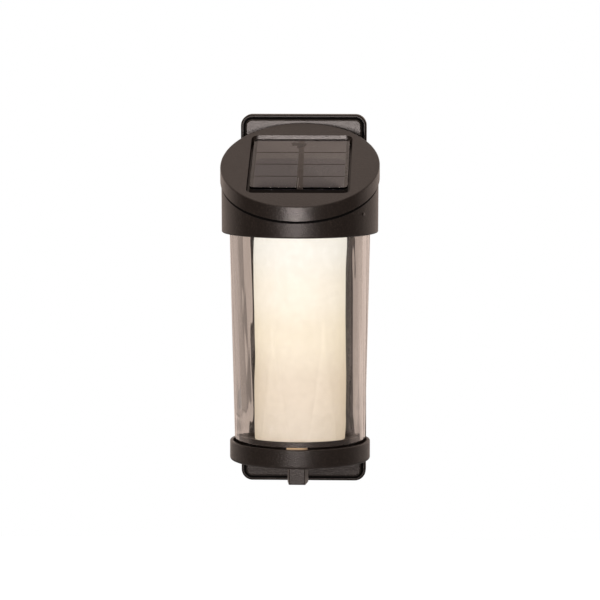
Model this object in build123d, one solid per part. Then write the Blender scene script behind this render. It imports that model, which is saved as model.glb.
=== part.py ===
"""Solar fence light: a round lantern under a slanted solar head, carried by a ring and arm on a tall
back plate that hangs on a bracket screwed to the fence.

Frame: +Z up, +X to the right as seen from the front, -Y out of the fence towards the viewer. The origin is
on the fence's face, midway between the bracket's two screw holes. All sizes are in millimetres.
"""

from build123d import *
import math
import os

# ---------------------------------------------------------------- driving sizes: back plate and cover
plate_width = 90.0
plate_height = 265.0
plate_corner = 8.0          # corner radius of the plate seen from the front
plate_edge_round = 1.2      # round on the rim's front edge
rim_wall = 2.0              # wall of the rim and of the skirt that meets the fence
rim_front = 11.0            # how far the rim stands out from the fence
floor_standoff = 3.0        # room behind the plate's floor, where the bracket lies
plate_floor = 2.0
cover_gap = 1.4             # shadow groove between rim and cover
cover_front = 13.0          # face of the raised cover, from the fence
cover_wall = 2.0
cover_edge_round = 1.2
plate_boss_inset = 15.0     # the cover's screws, from the cover's edges
cover_post = 3.2            # radius of the cover's posts
cover_post_bite = 5.0       # how far the screws go into them

# ---------------------------------------------------------------- driving sizes: screws, as radii and heights
large_screw = dict(shank=1.5, head=2.75, head_height=1.8, recess=0.9)
medium_screw = dict(shank=1.25, head=2.75, head_height=1.6, recess=0.8)
small_screw = dict(shank=0.9, head=1.9, head_height=1.1, recess=0.5)
hole_play = 0.2             # radial, where a screw only passes through
screw_bite = 8.0            # how far a large screw goes into its boss

# ---------------------------------------------------------------- driving sizes: fence bracket
bracket_width = 28.0
bracket_steel = 2.0
bracket_end = 57.0          # half height of the strip
screw_spacing = 60.0        # between the two fence screws
screw_hole = 4.5            # diameter of the fence screw holes
screw_head = 9.0            # diameter of the largest screw head that the plate clears
hook_width = 16.0
hook_rise = 8.0             # the hook's leg above its web
hook_play = 0.2             # hook to plate, at rest and in front
lift_travel = 10.0          # the light lifts this far to come off the hooks

# ---------------------------------------------------------------- driving sizes: arm, ring and tray
ring_rise = 26.1            # the ring's lower edge above the plate's lower end
ring_gap = 1.25             # open gap between the shade and the ring, seen from above
ring_wall = 2.2
ring_height = 13.6
shade_lift = 1.4            # the shade's foot above the ring's upper edge
arm_crown = 8.5             # the arm's top above the ring's lower edge
arm_width = 14.4
arm_wall = 2.0
arm_root_drop = 4.0         # the arm's underside below the ring's lower edge, at the plate
arm_waist_drop = 0.6        # and just behind the toe
arm_setback = 0.9           # the toe's face, behind the ring's front
arm_ribs = [-8.0, 8.0, 34.0]        # cross ribs in the arm's channel, behind the lantern's axis
arm_rib_thick = 1.5
toe_width = 11.2            # face of the toe, which flares to the arm's width
toe_length = 15.4
toe_drop = 10.8             # the toe's lower end below the ring's lower edge
toe_round = 0.8
flange_width = 24.0
flange_height = 21.0
flange_thick = 3.0
tray_play = 0.3             # tray to shade and to candle
tray_sink = 0.9             # the tray's underside below the shade's foot
tray_floor = 1.2
tray_rim_rise = 3.2         # the tray's rim above the shade's foot
tray_rim_wall = 1.4
tray_post = 4.0             # radius of the screw posts
tray_post_rise = 3.5        # the posts above the candle's seat
tray_screw_bite = 4.4       # how far the screws go into the tray
foot_radius = 34.0
foot_wall = 2.4
platform_radius = 38.2
platform_rise = 0.85        # the candle's seat above the shade's foot
candle_spigot = 3.0         # height of the ring that centres the candle

# ---------------------------------------------------------------- driving sizes: shade and candle sleeve
shade_height = 150.0
shade_bottom_radius = 45.75
shade_top_radius = 49.2
shade_wall = 2.8
candle_bottom_radius = 31.55
candle_top_radius = 32.6
candle_wall = 1.8
candle_head_gap = 1.8       # from the sleeve's top to the deck

# ---------------------------------------------------------------- driving sizes: twist lock
lug_count = 3
lug_width = 10.0            # degrees
lug_height = 1.8
lug_depth = 1.7
lug_lip = 1.7               # wall of the collar's lip below the lug
lock_play = 0.3
socket_play = 0.4           # radial play of the shade in its socket
twist_travel = 20.0         # degrees from locked to free

# ---------------------------------------------------------------- driving sizes: solar head
slant = 25.0                # slope of the head's top, degrees
head_gap = 2.4              # from the lid's back to the cover's face
collar_step = 5.7           # collar's radius beyond the shade's top
collar_draft = 0.3          # the collar is this much slimmer at its bottom
collar_cover = 5.0          # how far the collar hangs over the shade
collar_front_height = 11.3
collar_wall = 2.4
collar_edge_round = 1.0
seam_gap = 0.9
lid_overhang = 0.7
lid_skirt = 9.8
lid_top_wall = 2.4
lid_edge_round = 1.0
tongue_wall = 1.3
tongue_rise = 2.5
tongue_root = 3.0
tongue_play = 0.3
gasket_thick = 1.2
deck_thick = 2.0
ledge_thick = 1.6
ledge_grip = 1.7            # the ledge's hold on the deck's rim
ear_width = 10.0
lid_boss = 3.5              # radius of the lid's screw bosses
head_screw_inset = 0.95      # screw heads clear of the shade's bore
mark_bearing = 55.6         # the twist mark, degrees round to the right from the front
mark_height = 15.0          # above the collar's bottom

# ---------------------------------------------------------------- driving sizes: solar panel
window_length = 83.2        # along the slope
window_width = 71.4
window_corner = 5.0
window_depth = 2.9          # from the lid's face to the panel's face
pocket_wall = 1.6
panel_gap = 1.8             # open groove round the panel
panel_cover_thick = 0.9
panel_cover_short = 6.8     # the clear cover ends this far from the board's lower end
panel_board_thick = 1.6
panel_seal_thick = 0.6
panel_seal_width = 3.0
cell_columns = 2
cell_rows = 4
cell_gap = 0.5              # between the cells of one column
column_gap = 3.4
cell_margin = 2.6           # from the panel's edge
cell_front_margin = 9.2     # blank strip at the panel's lower end
cell_thick = 0.25
lead_hole = 8.0

# ---------------------------------------------------------------- driving sizes: inside the head
battery_diameter = 14.2
battery_length = 50.5
battery_button = 1.5        # height of the positive button
battery_bearing = 21.0      # battery's axis behind the lantern's axis
battery_room = 1.75         # at each end, for the contacts
well_play = 0.65
well_wall = 1.8
lid_plate_thick = 1.5       # battery cover
battery_cover_length = 66.0
battery_cover_width = 21.5
rebate_play = 0.3
pad_rise = 2.0
pad_border = 1.5
cover_screw_reach = 30.3    # the cover's screws, from the middle of the head
cover_screw_bite = 4.5
board_length = 44.0
board_width = 20.0
board_thick = 1.6
board_standoff = 5.0
board_post = 3.0            # radius of the posts under the board
board_centre = -24.0
coil = dict(radius=3.2, height=4.0)
chip = dict(length=5.0, width=4.0, height=1.6)
capacitor = dict(radius=2.5, height=6.0)
led_hole = 11.0
led_board_diameter = 16.0
led_reach = 6.0             # dome below the deck
switch_bearing = -39.5      # switch in front of the lantern's axis
switch_length = 15.0
switch_width = 6.4
switch_body_height = 5.6
switch_travel = 3.0
knob_length = 4.2
knob_width = 2.6
knob_drop = 2.4             # knob below the deck
knob_play = 0.3
lead_diameter = 1.3

# ---------------------------------------------------------------- sizes worked out from those above
cover_width = plate_width - 2 * (rim_wall + cover_gap)
cover_height = plate_height - 2 * (rim_wall + cover_gap)
cover_corner = plate_corner - rim_wall - cover_gap
floor_back = -floor_standoff
floor_front = -(floor_standoff + plate_floor)
cover_back_face = floor_front
cover_inside = -(cover_front - cover_wall)

ring_bottom = -plate_height / 2 + ring_rise
ring_top = ring_bottom + ring_height
arm_top = ring_bottom + arm_crown
shade_bottom = ring_top + shade_lift
tray_bottom = shade_bottom - tray_sink
shade_top = shade_bottom + shade_height
platform_top = shade_bottom + platform_rise
candle_bottom = platform_top
deck_bottom = shade_top + gasket_thick
deck_top = deck_bottom + deck_thick
ledge_top = deck_top + ledge_thick
candle_top = deck_bottom - candle_head_gap
collar_bottom = shade_top - collar_cover

collar_radius = shade_top_radius + collar_step
collar_bore = collar_radius - collar_wall
lid_radius = collar_radius + lid_overhang
socket_radius = shade_top_radius + socket_play
deck_radius = socket_radius - socket_play
axis_y = -(cover_front + head_gap + lid_radius)
slope = math.tan(math.radians(slant))
seam_on_axis = collar_bottom + collar_front_height + slope * collar_radius
lid_base_on_axis = seam_on_axis + seam_gap
lid_top_on_axis = lid_base_on_axis + lid_skirt
tongue_outer = lid_radius - collar_wall - tongue_play
tongue_inner = tongue_outer - tongue_wall

ring_inner = shade_bottom_radius + ring_gap
ring_outer = ring_inner + ring_wall
tray_rim_outer = shade_bottom_radius - shade_wall - tray_play
lug_bottom = collar_bottom + lug_lip + lock_play

panel_length = window_length - 2 * panel_gap
panel_width = window_width - 2 * panel_gap
panel_corner = window_corner - panel_gap
head_screw_circle = shade_top_radius - shade_wall - large_screw["head"] - head_screw_inset
pocket_depth = window_depth + panel_cover_thick + panel_board_thick + panel_seal_thick
board_plane = -(window_depth + panel_cover_thick)   # the panel board's top, below the lid's face
head_screws = [90.0, 210.0, 330.0]                  # bearings of the three head screws
tall = 400.0                                        # longer than anything here

C = Align.CENTER
BASE = (C, C, Align.MIN)
TOP = (C, C, Align.MAX)
lantern = Pos(0, axis_y, 0)                         # carries a piece from the lantern's axis to its place
on_slant = Pos(0, 0, lid_top_on_axis) * Rot(slant, 0, 0)


# ---------------------------------------------------------------- shared shapes
def rod(radius, low, high, x=0.0, y=0.0):
    """Upright cylinder from one height to another."""
    return Pos(x, y, low) * Cylinder(radius, high - low, align=BASE)


def tube(outer, inner, low, high):
    """Upright pipe."""
    return rod(outer, low, high) - rod(inner, low - 1, high + 1)


def turned(points):
    """Solid of revolution about the Z axis from a closed (radius, height) outline."""
    outline = make_face(Plane.XZ * Polyline(*points, close=True))
    return revolve(outline, Axis.Z)


def sector(inner, outer, low, high, start, sweep):
    """Part of a ring, from a bearing in degrees counter-clockwise from +X."""
    middle = Pos((inner + outer) / 2, 0, (low + high) / 2)
    wall = middle * Rot(90, 0, 0) * Rectangle(outer - inner, high - low)
    return Rot(0, 0, start) * revolve(wall, Axis.Z, sweep)


def under_slant(height_on_axis):
    """Everything below a plane that is parallel to the head's slanted top."""
    return Pos(0, 0, height_on_axis) * Rot(slant, 0, 0) * Box(tall, tall, tall, align=TOP)


def slab_y(width, height, near, far, corner=0.0, x=0.0, z=0.0):
    """Upright plate, facing the viewer, between two distances along Y."""
    outline = RectangleRounded(width, height, corner) if corner else Rectangle(width, height)
    return Pos(x, near, z) * Rot(90, 0, 0) * extrude(outline, near - far)


def screw(length, shank, head, head_height, recess):
    """Pan head screw: its shank runs up from the origin and its head hangs below, with a cross recess."""
    body = rod(shank, 0, length) + rod(head, -head_height, 0)
    rim = body.edges().filter_by(GeomType.CIRCLE).group_by(Axis.Z)[0]
    body = fillet(rim, head_height * 0.4)
    for turn in (0, 90):
        body -= Pos(0, 0, -head_height) * Rot(0, 0, turn) * Box(head * 1.1, 0.7, 2 * recess)
    return body


def passing(size):
    """Radius of the hole that a screw passes through."""
    return size["shank"] + hole_play


def on_circle(piece, radius, bearings):
    """Copies of a piece on a circle, one at each bearing."""
    return [Pos(radius * math.cos(math.radians(b)), radius * math.sin(math.radians(b)), 0) * piece
            for b in bearings]


def lead(points, diameter, share=0.45):
    """Thin insulated wire through points, with a tangent arc at each corner that its runs leave room for."""
    radii = []
    for before, corner, after in zip(points, points[1:], points[2:]):
        back = Vector(*before) - Vector(*corner)
        ahead = Vector(*after) - Vector(*corner)
        turn = 180.0 - back.get_angle(ahead)
        room = share * min(back.length, ahead.length)
        radii.append(room / math.tan(math.radians(turn / 2)))
    path = FilletPolyline(*points, radius=radii)
    print("lead radii", [round(r, 1) for r in radii], "length", round(path.length, 1))
    section = Plane(path @ 0, z_dir=path % 0) * Circle(diameter / 2)
    return sweep(section, path=path)


# ---------------------------------------------------------------- fence bracket
def fence_bracket():
    """Steel strip with two screw holes and two hooks that stand up in front of it."""
    web_out = floor_standoff + plate_floor + hook_play + bracket_steel
    strip = slab_y(bracket_width, 2 * bracket_end, 0, -bracket_steel, corner=3.0)
    for side in (1, -1):
        top = side * bracket_end if side > 0 else -bracket_end + bracket_steel
        web = Pos(0, -web_out / 2, top - bracket_steel / 2) * Box(hook_width, web_out, bracket_steel)
        leg_top = top + hook_rise
        leg = slab_y(hook_width, hook_rise + bracket_steel, -web_out + bracket_steel, -web_out,
                     z=leg_top - (hook_rise + bracket_steel) / 2)
        strip += web + leg
        height = side * screw_spacing / 2
        strip -= Pos(0, 1, height) * Rot(90, 0, 0) * Cylinder(screw_hole / 2, tall, align=BASE)
    return strip


def hook_tops():
    """Height of each hook's web, on which the back plate hangs."""
    return [bracket_end, -bracket_end + bracket_steel]


# ---------------------------------------------------------------- back plate and its cover
def boss_places():
    """Centres of the four screws that hold the cover to the plate."""
    across = cover_width / 2 - plate_boss_inset
    along = cover_height / 2 - plate_boss_inset
    return [(sx * across, sz * along) for sx in (-1, 1) for sz in (-1, 1)]


def back_plate():
    """Tray: a skirt to the fence, a floor that hangs on the hooks and a rim round the cover."""
    body = slab_y(plate_width, plate_height, 0, -rim_front, plate_corner)
    front = body.faces().sort_by(Axis.Y)[0]
    body = fillet(front.edges(), plate_edge_round)
    inner = (plate_width - 2 * rim_wall, plate_height - 2 * rim_wall)
    inner_corner = plate_corner - rim_wall
    body -= slab_y(*inner, 1, floor_back, inner_corner)
    body -= slab_y(*inner, floor_front, -rim_front - 1, inner_corner)
    slot_height = lift_travel + bracket_steel + 2 * hook_play
    for top in hook_tops():
        middle = top + hook_play - slot_height / 2
        body -= slab_y(hook_width + 2, slot_height, 1, -rim_front, corner=1.0, z=middle)
    for side in (1, -1):
        high = side * screw_spacing / 2 + screw_head / 2
        low = side * screw_spacing / 2 - screw_head / 2 - lift_travel
        body -= slab_y(screw_head, high - low, 1, -rim_front, corner=screw_head / 2 - 0.01,
                       z=(high + low) / 2)
    for x, z in boss_places():
        body -= Pos(x, 1, z) * Rot(90, 0, 0) * Cylinder(passing(medium_screw), rim_front, align=BASE)
    return body


def plate_cover():
    """Raised front panel, a shell with screw bosses behind it."""
    body = slab_y(cover_width, cover_height, cover_back_face, -cover_front, cover_corner)
    front = body.faces().sort_by(Axis.Y)[0]
    body = fillet(front.edges(), cover_edge_round)
    body -= slab_y(cover_width - 2 * cover_wall, cover_height - 2 * cover_wall,
                   cover_back_face + 1, cover_inside, cover_corner - cover_wall)
    for x, z in boss_places():
        post = Pos(x, cover_back_face, z) * Rot(90, 0, 0)
        depth = -cover_inside + cover_back_face
        body += post * Cylinder(cover_post, depth, align=BASE)
        body -= post * Cylinder(medium_screw["shank"], depth, align=BASE)
    for side in (1, -1):
        body -= (Pos(side * flange_screw, cover_inside + 1, flange_middle) * Rot(90, 0, 0)
                 * Cylinder(passing(medium_screw), cover_wall + 2, align=BASE))
    return body


def cover_screws():
    """Four screws from the plate's rear into the cover."""
    one = Rot(90, 0, 0) * screw(plate_floor + cover_post_bite, **medium_screw)
    return [Pos(x, floor_back, z) * one for x, z in boss_places()]


# ---------------------------------------------------------------- arm with its ring
flange_middle = (arm_top + ring_bottom - arm_root_drop) / 2
flange_screw = flange_width / 2 - 5.5
arm_root = -axis_y - cover_front                    # the arm's end behind the lantern's axis
arm_nose = arm_setback - ring_outer                 # and its end in front of it


def arm_profile(trim):
    """The arm's side view as an outline, trimmed evenly below its top for the channel inside."""
    back = arm_root - (flange_thick if trim else 0)
    front = arm_nose + toe_length + trim
    low_front = ring_bottom - arm_waist_drop
    low_back = ring_bottom - arm_root_drop
    drop = tall if trim else 0
    return Plane.YZ * Polyline((front, arm_top - trim), (back, arm_top - trim), (back, low_back - drop),
                               (front, low_front - drop), close=True)


def toe():
    """The arm's drafted end below the ring's front, hollow from below."""
    height = arm_top - ring_bottom + toe_drop
    middle = arm_top - height / 2
    face = Pos(0, arm_nose, middle) * Rot(90, 0, 0) * Rectangle(toe_width, height)
    back = Pos(0, arm_nose + toe_length, middle) * Rot(90, 0, 0) * Rectangle(arm_width, height)
    body = loft([face, back])
    body = fillet(body.faces().sort_by(Axis.Y)[0].edges(), toe_round)
    body -= Pos(0, arm_nose + toe_length / 2, arm_top - arm_wall) * Box(
        toe_width - 2 * arm_wall, toe_length - 2 * arm_wall, tall, align=TOP)
    return body


def arm_ring():
    """The open ring, rounded more at its lower edge than at its upper one."""
    ring = tube(ring_outer, ring_inner, ring_bottom, ring_top)
    for group, radius in ((0, ring_wall * 0.8), (-1, ring_wall * 0.27)):
        edges = ring.edges().filter_by(GeomType.CIRCLE).filter_by(lambda e: abs(e.radius - ring_outer) < 0.01)
        ring = fillet(edges.group_by(Axis.Z)[group], radius)
    return ring


def arm_and_ring():
    """One moulding: a flange on the cover, a channel-section arm, its toe, the ring and the shade's rests."""
    beam = extrude(make_face(arm_profile(0)), arm_width / 2, both=True)
    channel = extrude(make_face(arm_profile(arm_wall)), arm_width / 2 - arm_wall, both=True)
    for y in arm_ribs:
        channel -= Pos(0, y, arm_top) * Box(arm_width, arm_rib_thick, arm_top - ring_bottom, align=TOP)
    body = beam - channel + arm_ring() + toe()

    inside = ring_inner + ring_wall / 2
    seat = tray_rim_outer + tray_play
    rests = tube(inside, seat, arm_top - arm_wall, shade_bottom)
    body += rests & Box(arm_width, tall, tall)

    flange = Pos(0, arm_root, flange_middle) * Rot(90, 0, 0) * extrude(
        RectangleRounded(flange_width, flange_height, 3.0), flange_thick)
    body += flange
    for y in tray_screw_places():
        body -= rod(passing(large_screw), ring_bottom, arm_top + 1, y=y)
    for side in (1, -1):
        body -= (Pos(side * flange_screw, arm_root + 1, flange_middle) * Rot(90, 0, 0)
                 * Cylinder(medium_screw["shank"], flange_thick + 2, align=BASE))
    return lantern * body


def arm_screws():
    """Two screws from inside the cover into the arm's flange."""
    one = Rot(90, 0, 0) * screw(cover_wall + flange_thick - 0.4, **medium_screw)
    return [Pos(side * flange_screw, cover_inside, flange_middle) * one for side in (1, -1)]


# ---------------------------------------------------------------- tray under the shade
def tray_screw_places():
    """Two screws up through the arm, in front of and behind the lantern's axis."""
    return [-foot_radius * 0.6, foot_radius * 0.6]


def tray_foot():
    """Spacer drum between the arm and the tray, with a web that joins its two screw posts."""
    body = tube(foot_radius, foot_radius - foot_wall, arm_top, tray_bottom)
    web = Pos(0, 0, arm_top) * Box(foot_wall, 2 * foot_radius - foot_wall, tray_bottom - arm_top, align=BASE)
    body += web
    for y in tray_screw_places():
        body += rod(tray_post, arm_top, tray_bottom, y=y)
        body -= rod(passing(large_screw), arm_top - 1, tray_bottom + 1, y=y)
    return lantern * body


def base_tray():
    """Round tray on the foot: rim inside the shade's foot, moat, and a raised seat for the candle."""
    rim_top = shade_bottom + tray_rim_rise
    rim_inner = tray_rim_outer - tray_rim_wall
    body = turned([
        (0, tray_bottom), (tray_rim_outer, tray_bottom), (tray_rim_outer, rim_top), (rim_inner, rim_top),
        (rim_inner, tray_bottom + tray_floor), (platform_radius, tray_bottom + tray_floor),
        (platform_radius, platform_top), (0, platform_top),
    ])
    spigot = candle_bottom_radius - candle_wall - tray_play
    body += tube(spigot, spigot - 1.5, platform_top - 0.5, platform_top + candle_spigot)
    for y in tray_screw_places():
        body += rod(tray_post, platform_top - 0.5, platform_top + tray_post_rise, y=y)
        body -= rod(large_screw["shank"], tray_bottom - 1, tray_bottom + tray_screw_bite, y=y)
    return lantern * body


def tray_screws():
    """Two screws from the arm's channel through the foot into the tray's posts."""
    one = screw(arm_wall + tray_bottom - arm_top + tray_screw_bite, **large_screw)
    return [lantern * Pos(0, y, arm_top - arm_wall) * one for y in tray_screw_places()]


# ---------------------------------------------------------------- shade and candle sleeve
def shade_radius(height):
    """Outer radius of the tapered shade at a height."""
    share = (height - shade_bottom) / shade_height
    return shade_bottom_radius + share * (shade_top_radius - shade_bottom_radius)


def lug_bearings():
    """Bearings of the twist lock's lugs, the first one at the back."""
    return [90.0 + 360.0 * n / lug_count for n in range(lug_count)]


def clear_shade():
    """Tapered clear tube with the twist lock's lugs round its top."""
    body = turned([
        (shade_bottom_radius, shade_bottom), (shade_top_radius, shade_top),
        (shade_top_radius - shade_wall, shade_top), (shade_bottom_radius - shade_wall, shade_bottom),
    ])
    skin = shade_radius(lug_bottom)
    for bearing in lug_bearings():
        body += sector(skin - shade_wall / 2, skin + lug_depth, lug_bottom, lug_bottom + lug_height,
                       bearing - lug_width / 2, lug_width)
    return lantern * body


def candle_sleeve():
    """Ivory sleeve that stands for the candle, open at both ends."""
    return lantern * turned([
        (candle_bottom_radius, candle_bottom), (candle_top_radius, candle_top),
        (candle_top_radius - candle_wall, candle_top), (candle_bottom_radius - candle_wall, candle_bottom),
    ])


# ---------------------------------------------------------------- head: collar with the twist lock's socket
def collar():
    """Slant-topped collar: socket with bayonet slots below, ledge for the deck, tongue for the lid."""
    top = seam_on_axis + slope * collar_radius + 1
    bottom_radius = collar_radius - collar_draft
    body = turned([
        (socket_radius, collar_bottom), (bottom_radius, collar_bottom), (collar_radius, top),
        (collar_bore, top), (collar_bore, ledge_top), (deck_radius - ledge_grip, ledge_top),
        (deck_radius - ledge_grip, deck_top), (socket_radius, deck_top),
    ])
    rim = body.edges().filter_by(GeomType.CIRCLE).filter_by(lambda e: abs(e.radius - bottom_radius) < 0.01)
    body = fillet(rim, collar_edge_round)
    body &= under_slant(seam_on_axis)
    tongue = tube(tongue_outer, tongue_inner, collar_bottom, top + 2 * tongue_rise)
    tongue &= under_slant(seam_on_axis + tongue_rise)
    tongue -= pocket_tub(tongue_play)
    body += tongue - under_slant(seam_on_axis - tongue_root)

    for bearing in head_screws:
        ear = Pos(head_screw_circle - ear_width / 2, 0, deck_top) * Box(
            collar_bore + 0.5 - head_screw_circle + ear_width / 2, ear_width, ledge_thick,
            align=(Align.MIN, C, Align.MIN))
        body += Rot(0, 0, bearing) * ear
    for hole in on_circle(rod(passing(large_screw), deck_top - 1, ledge_top + 1), head_screw_circle,
                          head_screws):
        body -= hole

    channel_outer = shade_top_radius + lug_depth + lock_play
    channel_low = lug_bottom - lock_play
    channel_high = lug_bottom + lug_height + lock_play
    play = math.degrees(lock_play / socket_radius) + 0.5
    for bearing in lug_bearings():
        start = bearing - lug_width / 2 - twist_travel - play
        body -= sector(socket_radius - 1, channel_outer, channel_low, channel_high,
                       start, lug_width + twist_travel + 2 * play)
        body -= sector(socket_radius - 1, channel_outer, collar_bottom - 1, channel_high,
                       start, lug_width + 2 * play)

    mark = Rot(0, 0, mark_bearing - 90) * Pos(collar_radius - 1, 0, collar_bottom + mark_height)
    body += mark * Rot(0, 90, 0) * Cylinder(0.9, 1.3, align=BASE)
    return lantern * body


# ---------------------------------------------------------------- head: lid with the panel's pocket
def pocket_tub(play=0.0):
    """Outside of the pocket that hangs below the lid's top wall."""
    wall = pocket_wall + play
    outline = RectangleRounded(window_width + 2 * wall, window_length + 2 * wall, window_corner + wall)
    depth = pocket_depth + wall
    return on_slant * Pos(0, 0, -lid_top_wall / 2) * extrude(outline, lid_top_wall / 2 - depth)


def head_lid():
    """Slanted lid: skirt, top wall, a sunk pocket for the solar panel and three long screw bosses."""
    low = lid_base_on_axis - slope * lid_radius - 1
    high = lid_top_on_axis + slope * lid_radius + 1
    body = rod(lid_radius, low, high) & under_slant(lid_top_on_axis)
    body -= under_slant(lid_base_on_axis)
    rim = body.faces().sort_by(Axis((0, 0, 0), (0, -math.sin(math.radians(slant)),
                                                math.cos(math.radians(slant)))))[-1].edges()
    body = fillet(rim, lid_edge_round)
    cavity = rod(lid_radius - collar_wall, low, high) & under_slant(lid_top_on_axis - lid_top_wall)
    shell = body - cavity

    shell += pocket_tub()
    boss = rod(lid_boss, ledge_top, high)
    room = under_slant(lid_top_on_axis - lid_top_wall / 2)
    for post in on_circle(boss, head_screw_circle, head_screws):
        shell += post & room
    shell -= on_slant * extrude(RectangleRounded(window_width, window_length, window_corner), -pocket_depth)
    shell -= on_slant * Pos(0, 0, -tall) * Cylinder(lead_hole / 2, tall, align=BASE)
    for hole in on_circle(rod(large_screw["shank"], ledge_top - 1, ledge_top + screw_bite), head_screw_circle,
                          head_screws):
        shell -= hole
    return lantern * shell


def head_screws_set():
    """Three screws from below through deck and collar into the lid."""
    one = Pos(0, 0, deck_bottom) * screw(deck_thick + ledge_thick + screw_bite, **large_screw)
    return [lantern * s for s in on_circle(one, head_screw_circle, head_screws)]


# ---------------------------------------------------------------- head: solar panel
def panel_outline(short=0.0):
    """The panel seen square on, cut short at its lower end."""
    return Pos(0, short / 2) * RectangleRounded(panel_width, panel_length - short, panel_corner)


def panel_seal():
    """Flat rubber frame under the panel board."""
    base = on_slant * Pos(0, 0, -pocket_depth)
    frame = extrude(panel_outline(), panel_seal_thick) - extrude(
        Rectangle(panel_width - 2 * panel_seal_width, panel_length - 2 * panel_seal_width), panel_seal_thick)
    return lantern * base * frame


def panel_board():
    """Circuit board that carries the cells."""
    board = on_slant * Pos(0, 0, board_plane) * extrude(panel_outline(), -panel_board_thick)
    return lantern * board


def cell_places():
    """Size and centre of each cell, in the slanted plane."""
    width = (panel_width - 2 * cell_margin - (cell_columns - 1) * column_gap) / cell_columns
    run = panel_length - cell_front_margin - cell_margin / 2
    length = (run - (cell_rows - 1) * cell_gap) / cell_rows
    first_x = -panel_width / 2 + cell_margin + width / 2
    first_y = -panel_length / 2 + cell_front_margin + length / 2
    return width, length, [(first_x + c * (width + column_gap), first_y + r * (length + cell_gap))
                           for c in range(cell_columns) for r in range(cell_rows)]


def solar_cells():
    """Cells laid on the board in two columns."""
    width, length, places = cell_places()
    return [lantern * on_slant * Pos(x, y, board_plane) * Box(width, length, cell_thick, align=BASE)
            for x, y in places]


def panel_window():
    """Clear cast cover over the cells, which leaves the board's lower end bare."""
    cover = on_slant * Pos(0, 0, board_plane) * extrude(panel_outline(panel_cover_short), panel_cover_thick)
    width, length, places = cell_places()
    for x, y in places:
        cover -= on_slant * Pos(x, y, board_plane) * Box(width, length, cell_thick, align=BASE)
    return lantern * cover


# ---------------------------------------------------------------- head: deck with the battery well
well_length = battery_length + 2 * battery_room
well_width = battery_diameter + 2 * well_play
well_roof = deck_bottom + lid_plate_thick + rebate_play + battery_diameter + 2 * well_play
battery_height = deck_bottom + lid_plate_thick + rebate_play + well_play + battery_diameter / 2


def board_post_places():
    """The two posts under the control board."""
    return [(side * (board_length / 2 - 4.0), board_centre) for side in (1, -1)]


def deck():
    """Floor of the head: battery well that opens downwards, posts for the board, holes for LED and switch."""
    body = rod(deck_radius, deck_bottom, deck_top)
    middle = Pos(0, battery_bearing, 0)
    pad = Box(battery_cover_length + 2 * pad_border, battery_cover_width + 2 * pad_border,
              deck_thick + pad_rise, align=BASE)
    body += (middle * Pos(0, 0, deck_bottom) * pad) & rod(deck_radius - ledge_grip - socket_play,
                                                          deck_bottom, deck_top + pad_rise)
    body += middle * Pos(0, 0, deck_bottom) * Box(well_length + 2 * well_wall, well_width + 2 * well_wall,
                                                  well_roof + well_wall - deck_bottom, align=BASE)
    for side in (1, -1):
        body += rod(2.6, deck_bottom, deck_top + 6.5, side * cover_screw_reach, battery_bearing)
    body -= middle * Pos(0, 0, deck_bottom) * Box(
        battery_cover_length + 2 * rebate_play, battery_cover_width + 2 * rebate_play,
        lid_plate_thick + rebate_play, align=BASE)
    body -= middle * Pos(0, 0, deck_bottom) * Box(well_length, well_width, well_roof - deck_bottom,
                                                  align=BASE)
    for side in (1, -1):
        body -= rod(small_screw["shank"], deck_bottom, deck_bottom + lid_plate_thick + cover_screw_bite,
                    side * cover_screw_reach, battery_bearing)
        body -= (Pos(side * well_length / 2, battery_bearing, battery_height) * Rot(0, 90, 0)
                 * Cylinder(1.2, 3 * well_wall))
    for x, y in board_post_places():
        body += rod(board_post, deck_top, deck_top + board_standoff, x, y)
        body -= rod(small_screw["shank"], deck_top + 0.5, deck_top + board_standoff + 1, x, y)
    body -= rod(led_hole / 2, deck_bottom - 1, deck_top + 1)
    body -= Pos(0, switch_bearing, deck_bottom - 1) * Box(
        knob_length + switch_travel + 2 * knob_play, knob_width + 2 * knob_play, deck_thick + 2, align=BASE)
    for hole in on_circle(rod(passing(large_screw), deck_bottom - 1, deck_top + 1), head_screw_circle,
                          head_screws):
        body -= hole
    return lantern * body


def shade_gasket():
    """Soft ring between the shade's top edge and the deck."""
    inner = shade_top_radius - shade_wall
    return lantern * tube(deck_radius - 0.1, inner, shade_top, deck_bottom)


def battery_cover():
    """Plate that closes the well, flush with the deck's underside."""
    plate = Pos(0, battery_bearing, deck_bottom) * Box(battery_cover_length, battery_cover_width,
                                                       lid_plate_thick, align=BASE)
    plate = fillet(plate.edges().filter_by(Axis.Z), 2.0)
    for side in (1, -1):
        plate -= rod(passing(small_screw), deck_bottom - 1, deck_top + 1, side * cover_screw_reach,
                     battery_bearing)
    return lantern * plate


def battery_cover_screws():
    """Two small screws that hold the battery cover."""
    one = screw(lid_plate_thick + cover_screw_bite, **small_screw)
    return [lantern * Pos(side * cover_screw_reach, battery_bearing, deck_bottom) * one for side in (1, -1)]


def battery():
    """Round cell lying across the head, with its raised positive button."""
    along = Pos(-battery_length / 2, battery_bearing, battery_height) * Rot(0, 90, 0)
    can = Cylinder(battery_diameter / 2, battery_length - battery_button, align=BASE)
    can = fillet(can.edges(), 0.6)
    button = rod(2.8, battery_length - battery_button - 0.1, battery_length)
    return lantern * along * (can + button)


def battery_contacts():
    """Two sprung leaves at the ends of the well, each folded back on itself."""
    leaves = []
    metal = 0.4
    height = battery_diameter * 0.6
    for side in (1, -1):
        outer = side * well_length / 2
        inner = side * battery_length / 2
        fold = abs(outer - inner)
        x = (outer + inner) / 2
        back = Pos(outer - side * metal / 2, 0, 0) * Box(metal, height, height)
        front = Pos(inner + side * metal / 2, 0, 0) * Box(metal, height, height)
        bridge = Pos(x, 0, height / 2 - metal / 2) * Box(fold, height, metal)
        leaves.append(lantern * Pos(0, battery_bearing, battery_height) * (back + front + bridge))
    return leaves


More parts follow.
